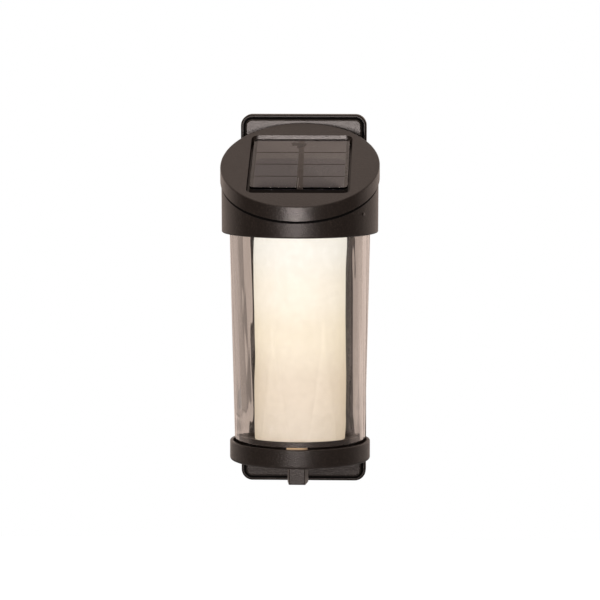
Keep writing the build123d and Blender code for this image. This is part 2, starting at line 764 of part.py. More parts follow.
# ---------------------------------------------------------------- head: electronics
board_bottom = deck_top + board_standoff
board_top = board_bottom + board_thick


def control_board():
    """Board that charges the battery and drives the LED."""
    board = Pos(0, board_centre, board_bottom) * Box(board_length, board_width, board_thick, align=BASE)
    for x, y in board_post_places():
        board -= rod(passing(small_screw), board_bottom - 1, board_top + 1, x, y)
    return lantern * board


def board_parts():
    """Coil, chip and capacitor on the control board."""
    wound = rod(coil["radius"], board_top, board_top + coil["height"], -7.5, board_centre)
    driver = Pos(2.0, board_centre + 2, board_top) * Box(*chip.values(), align=BASE)
    can = rod(capacitor["radius"], board_top, board_top + capacitor["height"], 10.5, board_centre - 2)
    return [lantern * p for p in (wound, driver, can)]


def board_screws():
    """Two screws that hold the control board on its posts."""
    one = Rot(180, 0, 0) * screw(board_thick + board_standoff - 1.5, **small_screw)
    return [lantern * Pos(x, y, board_top) * one for x, y in board_post_places()]


def led_board():
    """Small round board over the deck's centre hole."""
    return lantern * rod(led_board_diameter / 2, deck_top, deck_top + board_thick)


def led_dome():
    """Warm white LED whose dome reaches down into the candle sleeve."""
    radius = led_hole / 2 - 0.75
    body = rod(radius, deck_bottom - led_reach + radius, deck_top + radius)
    body += Pos(0, 0, deck_bottom - led_reach + radius) * Sphere(radius)
    return lantern * (body & rod(led_hole, deck_bottom - led_reach - 1, deck_top))


def switch_body():
    """Slide switch on the deck's upper side."""
    place = Pos(0, switch_bearing, deck_top)
    body = place * Box(switch_length, switch_width, switch_body_height, align=BASE)
    body -= place * Pos(0, 0, -1) * Box(knob_length + switch_travel + 2 * knob_play,
                                        knob_width + 2 * knob_play, 3.0, align=BASE)
    return lantern * body


def switch_knob():
    """Sliding knob that shows below the deck, drawn in the off position at the left end of its slot."""
    x = -switch_travel / 2
    knob = Pos(x, switch_bearing, deck_bottom - knob_drop) * Box(
        knob_length, knob_width, knob_drop + deck_thick + 1.6, align=BASE)
    edges = knob.edges().filter_by(Axis.Y).group_by(Axis.Z)[0]
    return lantern * fillet(edges, 0.5)


def panel_leads():
    """Two wires from the panel's back, through the lid's hole, to the control board."""
    wires = []
    for side in (1, -1):
        x = side * 1.6
        start = (on_slant * Pos(x, 0, board_plane - panel_board_thick)).position
        below = (on_slant * Pos(x, 0, -pocket_depth - pocket_wall - 4.0)).position
        wires.append([tuple(start), tuple(below), (side * 3.0, board_centre + 12.0, board_top + 7.0),
                      (side * 4.0, board_centre + 7.0, board_top + 3.0),
                      (side * 4.0, board_centre + 7.0, board_top)])
    return [lantern * lead(points, lead_diameter) for points in wires]


def battery_leads():
    """A wire from each battery contact, forward over the deck to the control board."""
    wires = []
    for side in (1, -1):
        end = side * well_length / 2
        out = end + side * (well_wall + 2.5)
        wires.append([(end, battery_bearing, battery_height),
                      (out, battery_bearing, battery_height),
                      (out, battery_bearing - 9.0, battery_height),
                      (side * (board_length / 2 - 1.0), board_centre + 13.0, board_top + 5.0),
                      (side * (board_length / 2 - 5.0), board_centre + 6.0, board_top + 4.5),
                      (side * (board_length / 2 - 5.0), board_centre + 6.0, board_top)])
    return [lantern * lead(points, lead_diameter) for points in wires]


def led_leads():
    """Two short wires from the control board down to the LED board."""
    wires = []
    for side in (1, -1):
        x = side * 2.0
        wires.append([(x, -3.0, deck_top + board_thick), (x, -3.0, deck_top + board_thick + 5.0),
                      (x * 1.2, board_centre + 8.5 + 3.5, board_top + 3.6),
                      (x * 0.5, board_centre + 8.5, board_top + 3.2),
                      (x * 0.5, board_centre + 8.5, board_top)])
    return [lantern * lead(points, lead_diameter) for points in wires]


# ---------------------------------------------------------------- every sub-part, in the order of assembly
subparts = {
    "fence_bracket": fence_bracket,
    "back_plate": back_plate,
    "plate_cover": plate_cover,
    "cover_screws": cover_screws,
    "arm_and_ring": arm_and_ring,
    "arm_screws": arm_screws,
    "tray_foot": tray_foot,
    "base_tray": base_tray,
    "tray_screws": tray_screws,
    "clear_shade": clear_shade,
    "candle_sleeve": candle_sleeve,
    "shade_gasket": shade_gasket,
    "collar": collar,
    "head_lid": head_lid,
    "head_screws": head_screws_set,
    "panel_seal": panel_seal,
    "panel_board": panel_board,
    "solar_cells": solar_cells,
    "panel_window": panel_window,
    "deck": deck,
    "battery": battery,
    "battery_contacts": battery_contacts,
    "battery_cover": battery_cover,
    "battery_cover_screws": battery_cover_screws,
    "control_board": control_board,
    "board_parts": board_parts,
    "board_screws": board_screws,
    "led_board": led_board,
    "led_dome": led_dome,
    "switch_body": switch_body,
    "switch_knob": switch_knob,
    "panel_leads": panel_leads,
    "battery_leads": battery_leads,
    "led_leads": led_leads,
}


def write_all():
    os.makedirs("parts", exist_ok=True)
    for name, make in subparts.items():
        made = make()
        if isinstance(made, list):
            made = Compound(children=[s for p in made for s in p.solids()])
        elif len(made.solids()) == 1:
            made = made.solids()[0]
        export_step(made, f"parts/{name}.step")
        print(name, len(made.solids()), round(made.volume, 1))


write_all()
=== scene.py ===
# %% [markdown]
# # A solar fence light, dressed for the camera
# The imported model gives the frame: every moulding, screw and wire at its real size. This lesson gives those
# solids their finishes and replaces a few of them, the clear shade, the candle sleeve and the panel's cover,
# with surfaces worked out from formulas.

# %% Load the frame
import bmesh
import bpy
import math
import numpy as np
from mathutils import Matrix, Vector


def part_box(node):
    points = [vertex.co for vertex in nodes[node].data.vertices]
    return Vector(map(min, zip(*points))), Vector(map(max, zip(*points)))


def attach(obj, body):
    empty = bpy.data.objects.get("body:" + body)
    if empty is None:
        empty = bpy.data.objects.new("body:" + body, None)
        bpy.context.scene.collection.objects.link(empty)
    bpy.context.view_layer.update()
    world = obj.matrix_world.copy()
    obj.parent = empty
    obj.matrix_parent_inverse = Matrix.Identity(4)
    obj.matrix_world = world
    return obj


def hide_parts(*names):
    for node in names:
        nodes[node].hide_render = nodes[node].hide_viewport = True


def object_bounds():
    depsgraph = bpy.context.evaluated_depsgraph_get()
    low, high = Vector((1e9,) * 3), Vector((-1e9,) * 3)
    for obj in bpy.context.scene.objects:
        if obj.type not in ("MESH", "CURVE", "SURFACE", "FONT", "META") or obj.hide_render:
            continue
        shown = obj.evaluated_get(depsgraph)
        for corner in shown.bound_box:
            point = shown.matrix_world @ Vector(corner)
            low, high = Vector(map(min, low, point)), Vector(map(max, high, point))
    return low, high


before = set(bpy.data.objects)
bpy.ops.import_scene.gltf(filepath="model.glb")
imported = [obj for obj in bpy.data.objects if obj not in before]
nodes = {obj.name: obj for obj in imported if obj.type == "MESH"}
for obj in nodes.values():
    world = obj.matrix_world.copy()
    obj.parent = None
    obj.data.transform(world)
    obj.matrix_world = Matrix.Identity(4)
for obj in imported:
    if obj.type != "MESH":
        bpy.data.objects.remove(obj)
cad_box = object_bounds()
MM = 0.001

# %% [markdown]
# ## Measuring the frame
# The lantern's axis, the taper of the shade and of the candle, and the slope of the head are read from the
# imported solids, so that the new surfaces land exactly on what carries them.

# %% Read the lantern's measures
def points_of(node):
    """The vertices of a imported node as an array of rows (x, y, z), in metres."""
    mesh = nodes[node].data
    flat = np.empty(len(mesh.vertices) * 3)
    mesh.vertices.foreach_get("co", flat)
    return flat.reshape(-1, 3)


def from_axis(points):
    """Distance of each point from the lantern's upright axis."""
    return np.hypot(points[:, 0], points[:, 1] - axis_y)


def wall_at(node, share, band=0.004):
    """Inner and outer radius about the lantern's axis, near a share of the node's height."""
    spot = points_of(node)
    radius = from_axis(spot)
    height = (spot[:, 2] - spot[:, 2].min()) / np.ptp(spot[:, 2])
    near = np.abs(height - share) < band
    return radius[near].min(), radius[near].max()


sleeve_low, sleeve_high = (np.array(c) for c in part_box("candle_sleeve"))
shade_low, shade_high = (np.array(c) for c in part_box("clear_shade"))
axis_y = float(sleeve_low[1] + sleeve_high[1]) / 2
sleeve_foot, sleeve_top = wall_at("candle_sleeve", 0.0), wall_at("candle_sleeve", 1.0)
shade_foot, shade_top = wall_at("clear_shade", 0.0), wall_at("clear_shade", 1.0)
print("axis at y =", round(axis_y, 4), "shade foot", shade_foot, "shade top", shade_top)

# %% [markdown]
# ## One helper for every new surface
# A surface is a function of two parameters. Its points fill a grid of rows and columns, and the same few
# lines turn any such grid into a mesh: whole arrays go in, and no loop visits a vertex.

# %% Grid to mesh
def grid_faces(rows, columns, wrap_rows, wrap_columns, start=0):
    """Quads of a grid: corner (i, j) joins (i+1, j), (i+1, j+1) and (i, j+1), wrapped where asked."""
    i = np.arange(rows if wrap_rows else rows - 1)[:, None]
    j = np.arange(columns if wrap_columns else columns - 1)[None, :]
    i2, j2 = (i + 1) % rows, (j + 1) % columns
    quads = np.stack([i * columns + j, i2 * columns + j, i2 * columns + j2, i * columns + j2], axis=-1)
    return quads.reshape(-1, 4) + start


SHARP_EDGE = math.radians(35.0)


def place_object(name, data):
    """An object that shows the given mesh, lamp or camera, linked to the scene."""
    thing = bpy.data.objects.new(name, data)
    bpy.context.scene.collection.objects.link(thing)
    return thing


def outward(piece):
    """Turn every face of a closed shell outwards."""
    shell = bmesh.new()
    shell.from_mesh(piece.data)
    bmesh.ops.recalc_face_normals(shell, faces=shell.faces)
    shell.to_mesh(piece.data)
    shell.free()


def make_piece(name, grids, body, finish, closed=True):
    """A finished piece from grids of points: each grid is (points, wrap_rows, wrap_columns)."""
    spots, faces, start = [], [], 0
    for points, wrap_rows, wrap_columns in grids:
        rows, columns = points.shape[:2]
        spots.append(points.reshape(-1, 3))
        faces.append(grid_faces(rows, columns, wrap_rows, wrap_columns, start))
        start += rows * columns
    mesh = bpy.data.meshes.new(name)
    mesh.from_pydata(np.concatenate(spots), [], np.concatenate(faces).tolist())
    mesh.polygons.foreach_set("use_smooth", np.ones(len(mesh.polygons), dtype=bool))
    mesh.set_sharp_from_angle(angle=SHARP_EDGE)
    mesh.materials.append(finish)
    mesh.update()
    piece = place_object(name, mesh)
    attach(piece, body)
    if closed:
        outward(piece)
    print(name, "has", len(mesh.vertices), "points and", len(mesh.polygons), "faces")
    return piece

# %% [markdown]
# ## Shared finishes as node groups
# The same two effects run through every moulded piece here: the fine spark-eroded grain of the tool's skin,
# and the slow unevenness of sheen that handling and cooling leave. Each is a small group with named sockets.

# %% Node group helpers
def new_group(name, inputs, outputs):
    """An empty shader group with float inputs {name: default} and outputs {name: socket type}."""
    group = bpy.data.node_groups.new(name, "ShaderNodeTree")
    for label, value in inputs.items():
        socket = group.interface.new_socket(label, in_out="INPUT", socket_type="NodeSocketFloat")
        socket.default_value = value
    for label, kind in outputs.items():
        group.interface.new_socket(label, in_out="OUTPUT", socket_type=kind)
    return group, group.nodes.new("NodeGroupInput"), group.nodes.new("NodeGroupOutput")


def feed(node, values):
    """Feed a node's inputs, each from a socket or from a plain value."""
    for key, value in values.items():
        if isinstance(value, bpy.types.NodeSocket):
            node.id_data.links.new(value, node.inputs[key])
        else:
            node.inputs[key].default_value = value


def add(tree, kind, values=None, **settings):
    """A node with its settings, and with its inputs fed."""
    node = tree.nodes.new(kind)
    for key, value in settings.items():
        setattr(node, key, value)
    feed(node, values or {})
    return node


def math_node(tree, operation, a, b=0.0, clamp=False):
    return add(tree, "ShaderNodeMath", {0: a, 1: b}, operation=operation, use_clamp=clamp).outputs[0]


def object_place(tree):
    """Where a shaded point lies, in metres from the object's origin."""
    return add(tree, "ShaderNodeTexCoord").outputs["Object"]


def noise(tree, place, scale, detail, roughness=0.5):
    """Cloudy noise round one half; scale is one over the size of its clouds."""
    return add(tree, "ShaderNodeTexNoise", {"Vector": place, "Scale": scale, "Detail": detail,
                                            "Roughness": roughness}).outputs["Fac"]


# %% Moulded grain
def build_grain():
    """Height of a spark-eroded skin: crisp cells of about Grain metres, broken up by finer noise."""
    group, given, out = new_group("moulded_grain", {"Grain": 0.0009, "Depth": 0.5},
                                  {"Height": "NodeSocketFloat", "Glint_fleck": "NodeSocketFloat"})
    place = object_place(group)
    density = math_node(group, "DIVIDE", 1.0, given.outputs["Grain"])
    cells = noise(group, place, density, 1.0, 0.4)
    fine = math_node(group, "MULTIPLY", density, 2.7)
    grit = add(group, "ShaderNodeTexVoronoi", {"Vector": place, "Scale": fine}).outputs["Distance"]
    mixed = math_node(group, "ADD", cells, math_node(group, "MULTIPLY", grit, 0.10))
    group.links.new(math_node(group, "MULTIPLY", mixed, given.outputs["Depth"]), out.inputs["Height"])
    # The fleck output is a painted glint: a lighter colour on the tops of the grain's raised cells.
    lifted = math_node(group, "SUBTRACT", cells, 0.54)
    group.links.new(math_node(group, "MULTIPLY", lifted, 7.0, clamp=True), out.inputs["Glint_fleck"])
    return group


def build_unevenness():
    """A slow cloud between 0 and 1, about Size metres across, for sheen and tone."""
    group, given, out = new_group("slow_unevenness", {"Size": 0.03}, {"Cloud": "NodeSocketFloat"})
    density = math_node(group, "DIVIDE", 1.0, given.outputs["Size"])
    cloud = noise(group, object_place(group), density, 4.0, 0.55)
    spread = math_node(group, "MULTIPLY", math_node(group, "SUBTRACT", cloud, 0.5), 2.2)
    group.links.new(math_node(group, "ADD", spread, 0.5, clamp=True), out.inputs["Cloud"])
    return group


grain_group = build_grain()
unevenness_group = build_unevenness()
print("node groups:", [g.name for g in bpy.data.node_groups])

# %% [markdown]
# ## Materials
# One function makes each family of finish, and its arguments are what changes between its members. Colours
# are linear, as the shader wants them.

# %% Material helpers
def new_material(name):
    """A material whose tree holds only its Principled shader and output."""
    material = bpy.data.materials.new(name)
    material.use_nodes = True
    print("finish:", name)
    return material, material.node_tree, material.node_tree.nodes["Principled BSDF"]


def grouped(tree, group, **values):
    """A shader group placed in a tree, with its own values."""
    return add(tree, "ShaderNodeGroup", values, node_tree=group)


def clouds(tree, size):
    """The slow cloud, about size metres across."""
    return grouped(tree, unevenness_group, Size=size).outputs["Cloud"]


def blend_colours(tree, mask, first, second, kind="MIX"):
    """The first colour where the mask is 0 and the second, or their blend of a kind, where it is 1."""
    node = add(tree, "ShaderNodeMix", {"Factor": mask}, data_type="RGBA", blend_type=kind)
    for target, colour in zip([s for s in node.inputs if s.type == "RGBA"], (first, second)):
        if isinstance(colour, bpy.types.NodeSocket):
            tree.links.new(colour, target)
        else:
            target.default_value = (*colour, 1.0)
    return [s for s in node.outputs if s.type == "RGBA"][0]


def shaded(tree, mask, colour, share):
    """A colour, darkened to a share of itself where the mask is 0."""
    return blend_colours(tree, mask, tuple(c * share for c in colour), colour)


def mix_values(tree, mask, first, second):
    """The first value where the mask is 0 and the second where it is 1."""
    values = {"Factor": mask, "A": first, "B": second}
    return add(tree, "ShaderNodeMix", values, data_type="FLOAT").outputs["Result"]


def between(tree, value, low, high, start=0.0, stop=1.0, ease="LINEAR"):
    """low up to start and high from stop on, with a ramp between them."""
    ends = {"Value": value, "From Min": start, "From Max": stop, "To Min": low, "To Max": high}
    return add(tree, "ShaderNodeMapRange", ends, interpolation_type=ease).outputs["Result"]


def smooth_range(tree, value, start, stop, low, high):
    """low before start and high after stop, with an even ease between them."""
    return between(tree, value, low, high, start, stop, "SMOOTHSTEP")


def bumped(tree, height, strength, distance):
    """The normal of a skin that rises and falls with a height."""
    return add(tree, "ShaderNodeBump", {"Height": height, "Strength": strength,
                                        "Distance": distance}).outputs["Normal"]


# %% Moulded plastic
def moulded_plastic(name, colour, fleck_glint, sheen=(0.42, 0.52), grain=0.0011, depth=0.5, bump=0.00030,
                    specular=0.5):
    """Grained moulding: slow clouds shift its tone and sheen, and the grain's raised flecks are coloured
    lighter, a painted glint.
    """
    material, tree, shader = new_material(name)
    skin = grouped(tree, grain_group, Grain=grain, Depth=depth)
    cloud = clouds(tree, 0.04)
    toned = shaded(tree, cloud, colour, 0.88)
    feed(shader, {"Base Color": blend_colours(tree, skin.outputs["Glint_fleck"], toned, fleck_glint),
                  "Roughness": between(tree, cloud, *sheen), "Specular IOR Level": specular,
                  "Normal": bumped(tree, skin.outputs["Height"], 0.9, bump)})
    return material


BRONZE = (0.0170, 0.0125, 0.0100)
# The fleck colour is a painted glint on the grain's raised cells.
BRONZE_GLINT_FLECK = (0.036, 0.028, 0.023)
bronze_plastic = moulded_plastic("dark_bronze_moulding", BRONZE, BRONZE_GLINT_FLECK, (0.32, 0.38), grain=0.0008,
                                 bump=0.00040)
plate_plastic = moulded_plastic("dark_bronze_plate", BRONZE, BRONZE_GLINT_FLECK, (0.27, 0.32), grain=0.0009,
                                bump=0.00020, specular=0.42)
rim_plastic = moulded_plastic("dark_bronze_rim", BRONZE, BRONZE_GLINT_FLECK, (0.34, 0.42), bump=0.00025,
                              specular=0.34)
# Painted highlight: the lock mark is coloured light grey to stand for the glint it catches.
painted_glint_finish = moulded_plastic("lock_mark_with_painted_glint", (0.10, 0.09, 0.085), (0.14, 0.13, 0.12), (0.5, 0.6),
                             grain=0.0004, bump=0.00005)
lid_plastic = moulded_plastic("dark_bronze_lid", BRONZE, BRONZE_GLINT_FLECK, (0.27, 0.32), grain=0.0008, bump=0.00033,
                              specular=0.66)
black_plastic = moulded_plastic("black_moulding", (0.010, 0.010, 0.010), (0.02, 0.02, 0.02), (0.45, 0.6),
                                grain=0.0007, depth=0.3)
white_plastic = moulded_plastic("white_moulding", (0.62, 0.61, 0.57), (0.7, 0.69, 0.66), (0.35, 0.5),
                                grain=0.0006, depth=0.2)
# Painted shade: a near-black matte finish for the bands that stand for shadow in the head's seam and in the
# grooves round the panel and the plate's cover.
painted_shade_black = moulded_plastic("painted_shade_black", (0.003, 0.003, 0.003), (0.005, 0.005, 0.005), (0.85, 0.95),
                             grain=0.0005, depth=0.3, specular=0.1)
soft_rubber = moulded_plastic("soft_rubber", (0.012, 0.012, 0.012), (0.02, 0.02, 0.02), (0.7, 0.85),
                              grain=0.0005, depth=0.3)

# %% [markdown]
# ### Metals
# The bracket, the screws and the contacts are plated. Plating is never even: drawn strip shows streaks along
# its length, and small parts show a cloudy dullness. Noise stretched along one axis gives the streaks, which
# change the roughness and, by a hair, the surface.

# %% Plated metal
def plated_metal(name, colour, streak_along=(1.0, 1.0, 12.0), rough=(0.24, 0.42)):
    """Plated steel: noise stretched along one way gives it drawn streaks of duller plating."""
    material, tree, shader = new_material(name)
    stretched = add(tree, "ShaderNodeMapping", {"Vector": object_place(tree), "Scale": streak_along})
    streak = noise(tree, stretched.outputs["Vector"], 260.0, 3.0)
    feed(shader, {"Base Color": shaded(tree, clouds(tree, 0.006), colour, 0.75), "Metallic": 1.0,
                  "Roughness": between(tree, streak, *rough), "Normal": bumped(tree, streak, 0.25, 0.00005)})
    return material


zinc_steel = plated_metal("zinc_plated_steel", (0.46, 0.45, 0.41))
screw_steel = plated_metal("screw_plating", (0.36, 0.36, 0.35), (1.0, 1.0, 1.0))
contact_metal = plated_metal("contact_nickel", (0.62, 0.60, 0.54), (6.0, 1.0, 1.0), (0.15, 0.3))
wire_tin = plated_metal("wire_tin", (0.42, 0.40, 0.38), (1.0, 1.0, 1.0), (0.5, 0.65))
ribbon_tin = plated_metal("ribbon_tin", (0.12, 0.105, 0.094), (1.0, 1.0, 1.0), (0.5, 0.65))

# %% [markdown]
# ### Clear pieces
# The shade is a thick clear tube, so it is modelled with both its walls and given real refraction. Its
# shadow is switched off on the object instead of being faked in the shader, so that the studio light still
# reaches the candle.

# %% Clear plastic and glass
def clear_moulding(name, tint, ior=1.50, rough=0.015):
    """Clear wall: plain transmission with a whisper of slow unevenness in its polish."""
    material, tree, shader = new_material(name)
    feed(shader, {"Base Color": (*tint, 1.0), "Transmission Weight": 1.0, "IOR": ior,
                  "Roughness": between(tree, clouds(tree, 0.02), rough * 0.4, rough * 1.6)})
    return material


clear_shade_finish = clear_moulding("clear_shade_wall", (0.965, 0.955, 0.94))
panel_cover_finish = clear_moulding("panel_clear_cast", (0.93, 0.94, 0.95), 1.45, 0.03)
led_dome_finish = clear_moulding("led_dome_clear", (1.0, 0.86, 0.55), 1.5, 0.05)

# %% [markdown]
# ### The lit candle sleeve
# The light inside points down from the head, so the ivory wall is almost white at its top and settles to a
# warm cream at its foot. The glow is a function of height alone, and the studio light adds the roundness.

# %% Candle
def lit_sleeve(name, top_height, foot_height):
    """Ivory wax that glows: emission follows a curve of height, mottled a little, over a soft skin."""
    material, tree, shader = new_material(name)
    place = object_place(tree)
    height = add(tree, "ShaderNodeSeparateXYZ", {"Vector": place}).outputs["Z"]
    ramp = add(tree, "ShaderNodeValToRGB", {"Fac": between(tree, height, 0.0, 1.0, foot_height, top_height)})
    ramp.color_ramp.interpolation = "EASE"
    while len(ramp.color_ramp.elements) < len(CANDLE_GLOW):
        ramp.color_ramp.elements.new(0.5)
    for element, (place_on_ramp, colour) in zip(ramp.color_ramp.elements, CANDLE_GLOW):
        element.position = place_on_ramp
        element.color = (*colour, 1.0)
    cloud = clouds(tree, 0.005)
    mottled = blend_colours(tree, cloud, (0.97, 0.965, 0.95), (1.0, 1.0, 1.0))
    feed(shader, {"Emission Color": blend_colours(tree, 1.0, ramp.outputs["Color"], mottled, "MULTIPLY"),
                  "Emission Strength": 1.0, "Roughness": 0.7, "Specular IOR Level": 0.15,
                  "Base Color": blend_colours(tree, cloud, (0.23, 0.25, 0.27), (0.27, 0.29, 0.31)),
                  "Normal": bumped(tree, noise(tree, place, 420.0, 3.0), 0.35, 0.0003)})
    return material


CANDLE_GLOW = [(0.0, (0.58, 0.47, 0.335)), (0.25, (0.66, 0.53, 0.375)), (0.50, (0.80, 0.68, 0.49)),
               (0.70, (0.86, 0.77, 0.62)), (0.92, (0.87, 0.83, 0.74))]
candle_finish = lit_sleeve("ivory_glow", float(sleeve_high[2]), float(sleeve_low[2]))

# %% [markdown]
# ### Electronics
# Nobody sees the battery or the boards until the head comes off, but they are finished all the same: a
# printed sleeve, a green board with a fine weave, wires with a slight bloom.

# %% Inside finishes
def laminate(name, colour, weave=0.0006, rough=0.4, specular=0.5):
    """Circuit laminate: two crossed waves show as the weave of its glass cloth."""
    material, tree, shader = new_material(name)
    threads = {"Vector": object_place(tree), "Scale": 1.0 / weave}
    warp, weft = (add(tree, "ShaderNodeTexWave", threads, bands_direction=way).outputs["Fac"] for way in "XY")
    feed(shader, {"Base Color": shaded(tree, math_node(tree, "MULTIPLY", warp, weft), colour, 0.8),
                  "Roughness": rough, "Specular IOR Level": specular})
    return material


def insulation(name, colour, specular=0.5):
    """Wire insulation: soft plastic with a cloudy bloom."""
    material, tree, shader = new_material(name)
    cloud = clouds(tree, 0.004)
    feed(shader, {"Base Color": shaded(tree, cloud, colour, 0.8), "Roughness": between(tree, cloud, 0.35, 0.5),
                  "Specular IOR Level": specular})
    return material


green_board = laminate("green_board", (0.012, 0.085, 0.035))
dark_board = laminate("panel_laminate", (0.014, 0.012, 0.010), rough=0.9, specular=0.15)
battery_wrap = insulation("battery_wrap", (0.05, 0.22, 0.08))
red_wire = insulation("red_wire", (0.38, 0.012, 0.01))
black_wire = insulation("black_wire", (0.012, 0.012, 0.012))
chip_black = insulation("component_black", (0.014, 0.014, 0.015))

# %% [markdown]
# ### Solar cells
# A cell is brown-black silicon crossed by hair-fine silver fingers. Over its lower part a darker, bluish patch
# with round upper corners is a painted reflection of the room in the cells' cover. Both follow the panel's
# slope, so a Mapping node turns the pattern by that slope: the fingers are a repeated fraction of the way
# uphill, and the patch is the distance to a rounded box.

# %% Solar cell
FINGER_PITCH, FINGER_SHARE = 1.55 * MM, 0.09


def solar_silicon(name, slope, reflection_edge, reflection_half, reflection_round):
    """Brown-black silicon with fine silver fingers; below reflection_edge a rounded patch is a painted
    reflection, darker and bluer.
    """
    material, tree, shader = new_material(name)
    turned = add(tree, "ShaderNodeMapping", {"Vector": object_place(tree), "Rotation": (-slope, 0.0, 0.0)})
    axes = add(tree, "ShaderNodeSeparateXYZ", {"Vector": turned.outputs["Vector"]})
    phase = math_node(tree, "FRACT", math_node(tree, "DIVIDE", axes.outputs["Y"], FINGER_PITCH))
    finger = math_node(tree, "LESS_THAN", phase, FINGER_SHARE)
    from_middle = math_node(tree, "ABSOLUTE", axes.outputs["X"])
    sideways = math_node(tree, "SUBTRACT", from_middle, reflection_half - reflection_round)
    uphill_part = math_node(tree, "SUBTRACT", axes.outputs["Y"], reflection_edge - reflection_round)
    corner = add(tree, "ShaderNodeCombineXYZ", {"X": math_node(tree, "MAXIMUM", sideways, 0.0),
                                                "Y": math_node(tree, "MAXIMUM", uphill_part, 0.0)})
    reach = add(tree, "ShaderNodeVectorMath", {0: corner.outputs["Vector"]},
                operation="LENGTH").outputs["Value"]
    # Painted reflection: mask of the darker bluish patch that stands for the room reflected in the cells'
    # cover.
    reflection_patch = between(tree, reach, 1.0, 0.0, reflection_round - 0.3 * MM, reflection_round + 0.3 * MM)
    cloud = clouds(tree, 0.0015)
    brown = blend_colours(tree, cloud, (0.056, 0.049, 0.046), (0.072, 0.064, 0.060))
    reflected_blue = blend_colours(tree, cloud, (0.013, 0.013, 0.018), (0.017, 0.017, 0.023))
    silicon = blend_colours(tree, reflection_patch, brown, reflected_blue)
    feed(shader, {"Base Color": blend_colours(tree, finger, silicon, (0.060, 0.056, 0.056)),
                  "Roughness": between(tree, finger, 0.38, 0.5), "Specular IOR Level": 0.32})
    return material


panel_points = points_of("solar_cells")
far_edge = panel_points[panel_points[:, 1] > panel_points[:, 1].max() - 0.5 * MM].mean(axis=0)
near_edge = panel_points[panel_points[:, 1] < panel_points[:, 1].min() + 0.5 * MM].mean(axis=0)
head_slope = math.atan2(far_edge[2] - near_edge[2], far_edge[1] - near_edge[1])
print("the panel slopes", round(math.degrees(head_slope), 2), "degrees")
uphill = np.array([0.0, math.cos(head_slope), math.sin(head_slope)])
panel_run = float(panel_points.mean(axis=0) @ uphill)
# Painted reflection: where the darker bluish patch lies on the cells.
REFLECTION_RISE, REFLECTION_HALF, REFLECTION_ROUND = 8.5 * MM, 31.2 * MM, 6.0 * MM
cell_finish = solar_silicon("solar_silicon", head_slope, panel_run + REFLECTION_RISE, REFLECTION_HALF, REFLECTION_ROUND)
gap_black = insulation("gap_black", (0.006, 0.006, 0.006), specular=0.1)
flux_stain = insulation("flux_stain", (0.016, 0.013, 0.012))

# %% [markdown]
# ## Dressing the frame's own solids
# Most mouldings need nothing but their finish. A table gives each node its material.

# %% Give every node its finish
finishes = {
    "fence_bracket": zinc_steel, "back_plate": rim_plastic, "plate_cover": plate_plastic,
    "arm_and_ring": bronze_plastic, "base_tray": bronze_plastic, "tray_foot": bronze_plastic,
    "collar": bronze_plastic, "head_lid": lid_plastic, "deck": black_plastic, "battery_cover": black_plastic,
    "switch_body": black_plastic, "switch_knob": white_plastic, "shade_gasket": soft_rubber,
    "panel_seal": soft_rubber, "panel_board": dark_board, "solar_cells": cell_finish, "battery": battery_wrap,
    "battery_contacts": contact_metal, "control_board": green_board, "led_board": green_board,
    "board_parts": chip_black, "led_dome": led_dome_finish, "panel_leads": red_wire,
    "battery_leads": black_wire, "led_leads": red_wire, "clear_shade": clear_shade_finish,
    "candle_sleeve": candle_finish, "panel_window": panel_cover_finish,
}
finishes.update({name: screw_steel for name in nodes if name.endswith("screws")})
for name, node in nodes.items():
    node.data.materials.clear()
    node.data.materials.append(finishes[name])
print("finished", len(nodes), "nodes")

# %% [markdown]
# ## The clear shade
# A moulded tube is never quite true: its wall runs in faint upright waves, and those waves are what break
# the reflections into streaks. It is also a little thicker between its ends, and a thick clear wall shows
# what stands behind it narrower than it is. The surface is a closed profile carried round the axis, and the
# wave is a sum of a few sines of the angle that drift with height.

# %% Turned walls
def arc_points(centre, radius, start, stop, count):
    """Points on a circle's arc, as rows (r, z), from start to stop in degrees."""
    turn = np.radians(np.linspace(start, stop, count))
    return np.column_stack([centre[0] + radius * np.cos(turn), centre[1] + radius * np.sin(turn)])


def wall_profile(foot, top, low, high, lip, steps=60):
    """Closed outline of a tapered wall: outer line up, round lip, inner line down, round lip."""
    (foot_in, foot_out), (top_in, top_out) = foot, top
    rise = np.linspace(0.0, 1.0, steps)
    z = low + lip + rise * (high - low - 2 * lip)
    share = (z - low) / (high - low)
    outer = np.column_stack([foot_out + share * (top_out - foot_out), z])
    inner = np.column_stack([foot_in + share * (top_in - foot_in), z])[::-1]
    over = [arc_points((top_out - lip, high - lip), lip, 0, 90, 5)[1:],
            arc_points((top_in + lip, high - lip), lip, 90, 180, 5)[:-1]]
    under = [arc_points((foot_in + lip, low + lip), lip, 180, 270, 5)[1:],
             arc_points((foot_out - lip, low + lip), lip, 270, 360, 5)[:-1]]
    return np.concatenate([outer, *over, inner, *under])


def turned_wall(profile, around, wave):
    """Profile carried round the axis: x = r sin a, y = -r cos a, with r shifted by wave(a, z)."""
    angle = np.linspace(0, 2 * np.pi, around, endpoint=False)[None, :]
    radius, height = profile[:, 0][:, None], profile[:, 1][:, None]
    radius = radius + wave(angle, height)
    return np.stack([radius * np.sin(angle), axis_y - radius * np.cos(angle),
                     np.broadcast_to(height, radius.shape)], axis=-1)


# %% Shade with its drawn waves and its lock's lugs
def shade_wave(angle, height):
    """Depth of the mould's waves: three sines of the angle, the slowest the deepest, leaning with height."""
    lean = 3.0 * height
    return (0.050 * np.sin(7 * angle + 4 * lean) + 0.012 * np.sin(17 * angle - 9 * lean + 1.3)
            + 0.010 * np.sin(41 * angle + 21 * lean)) * MM


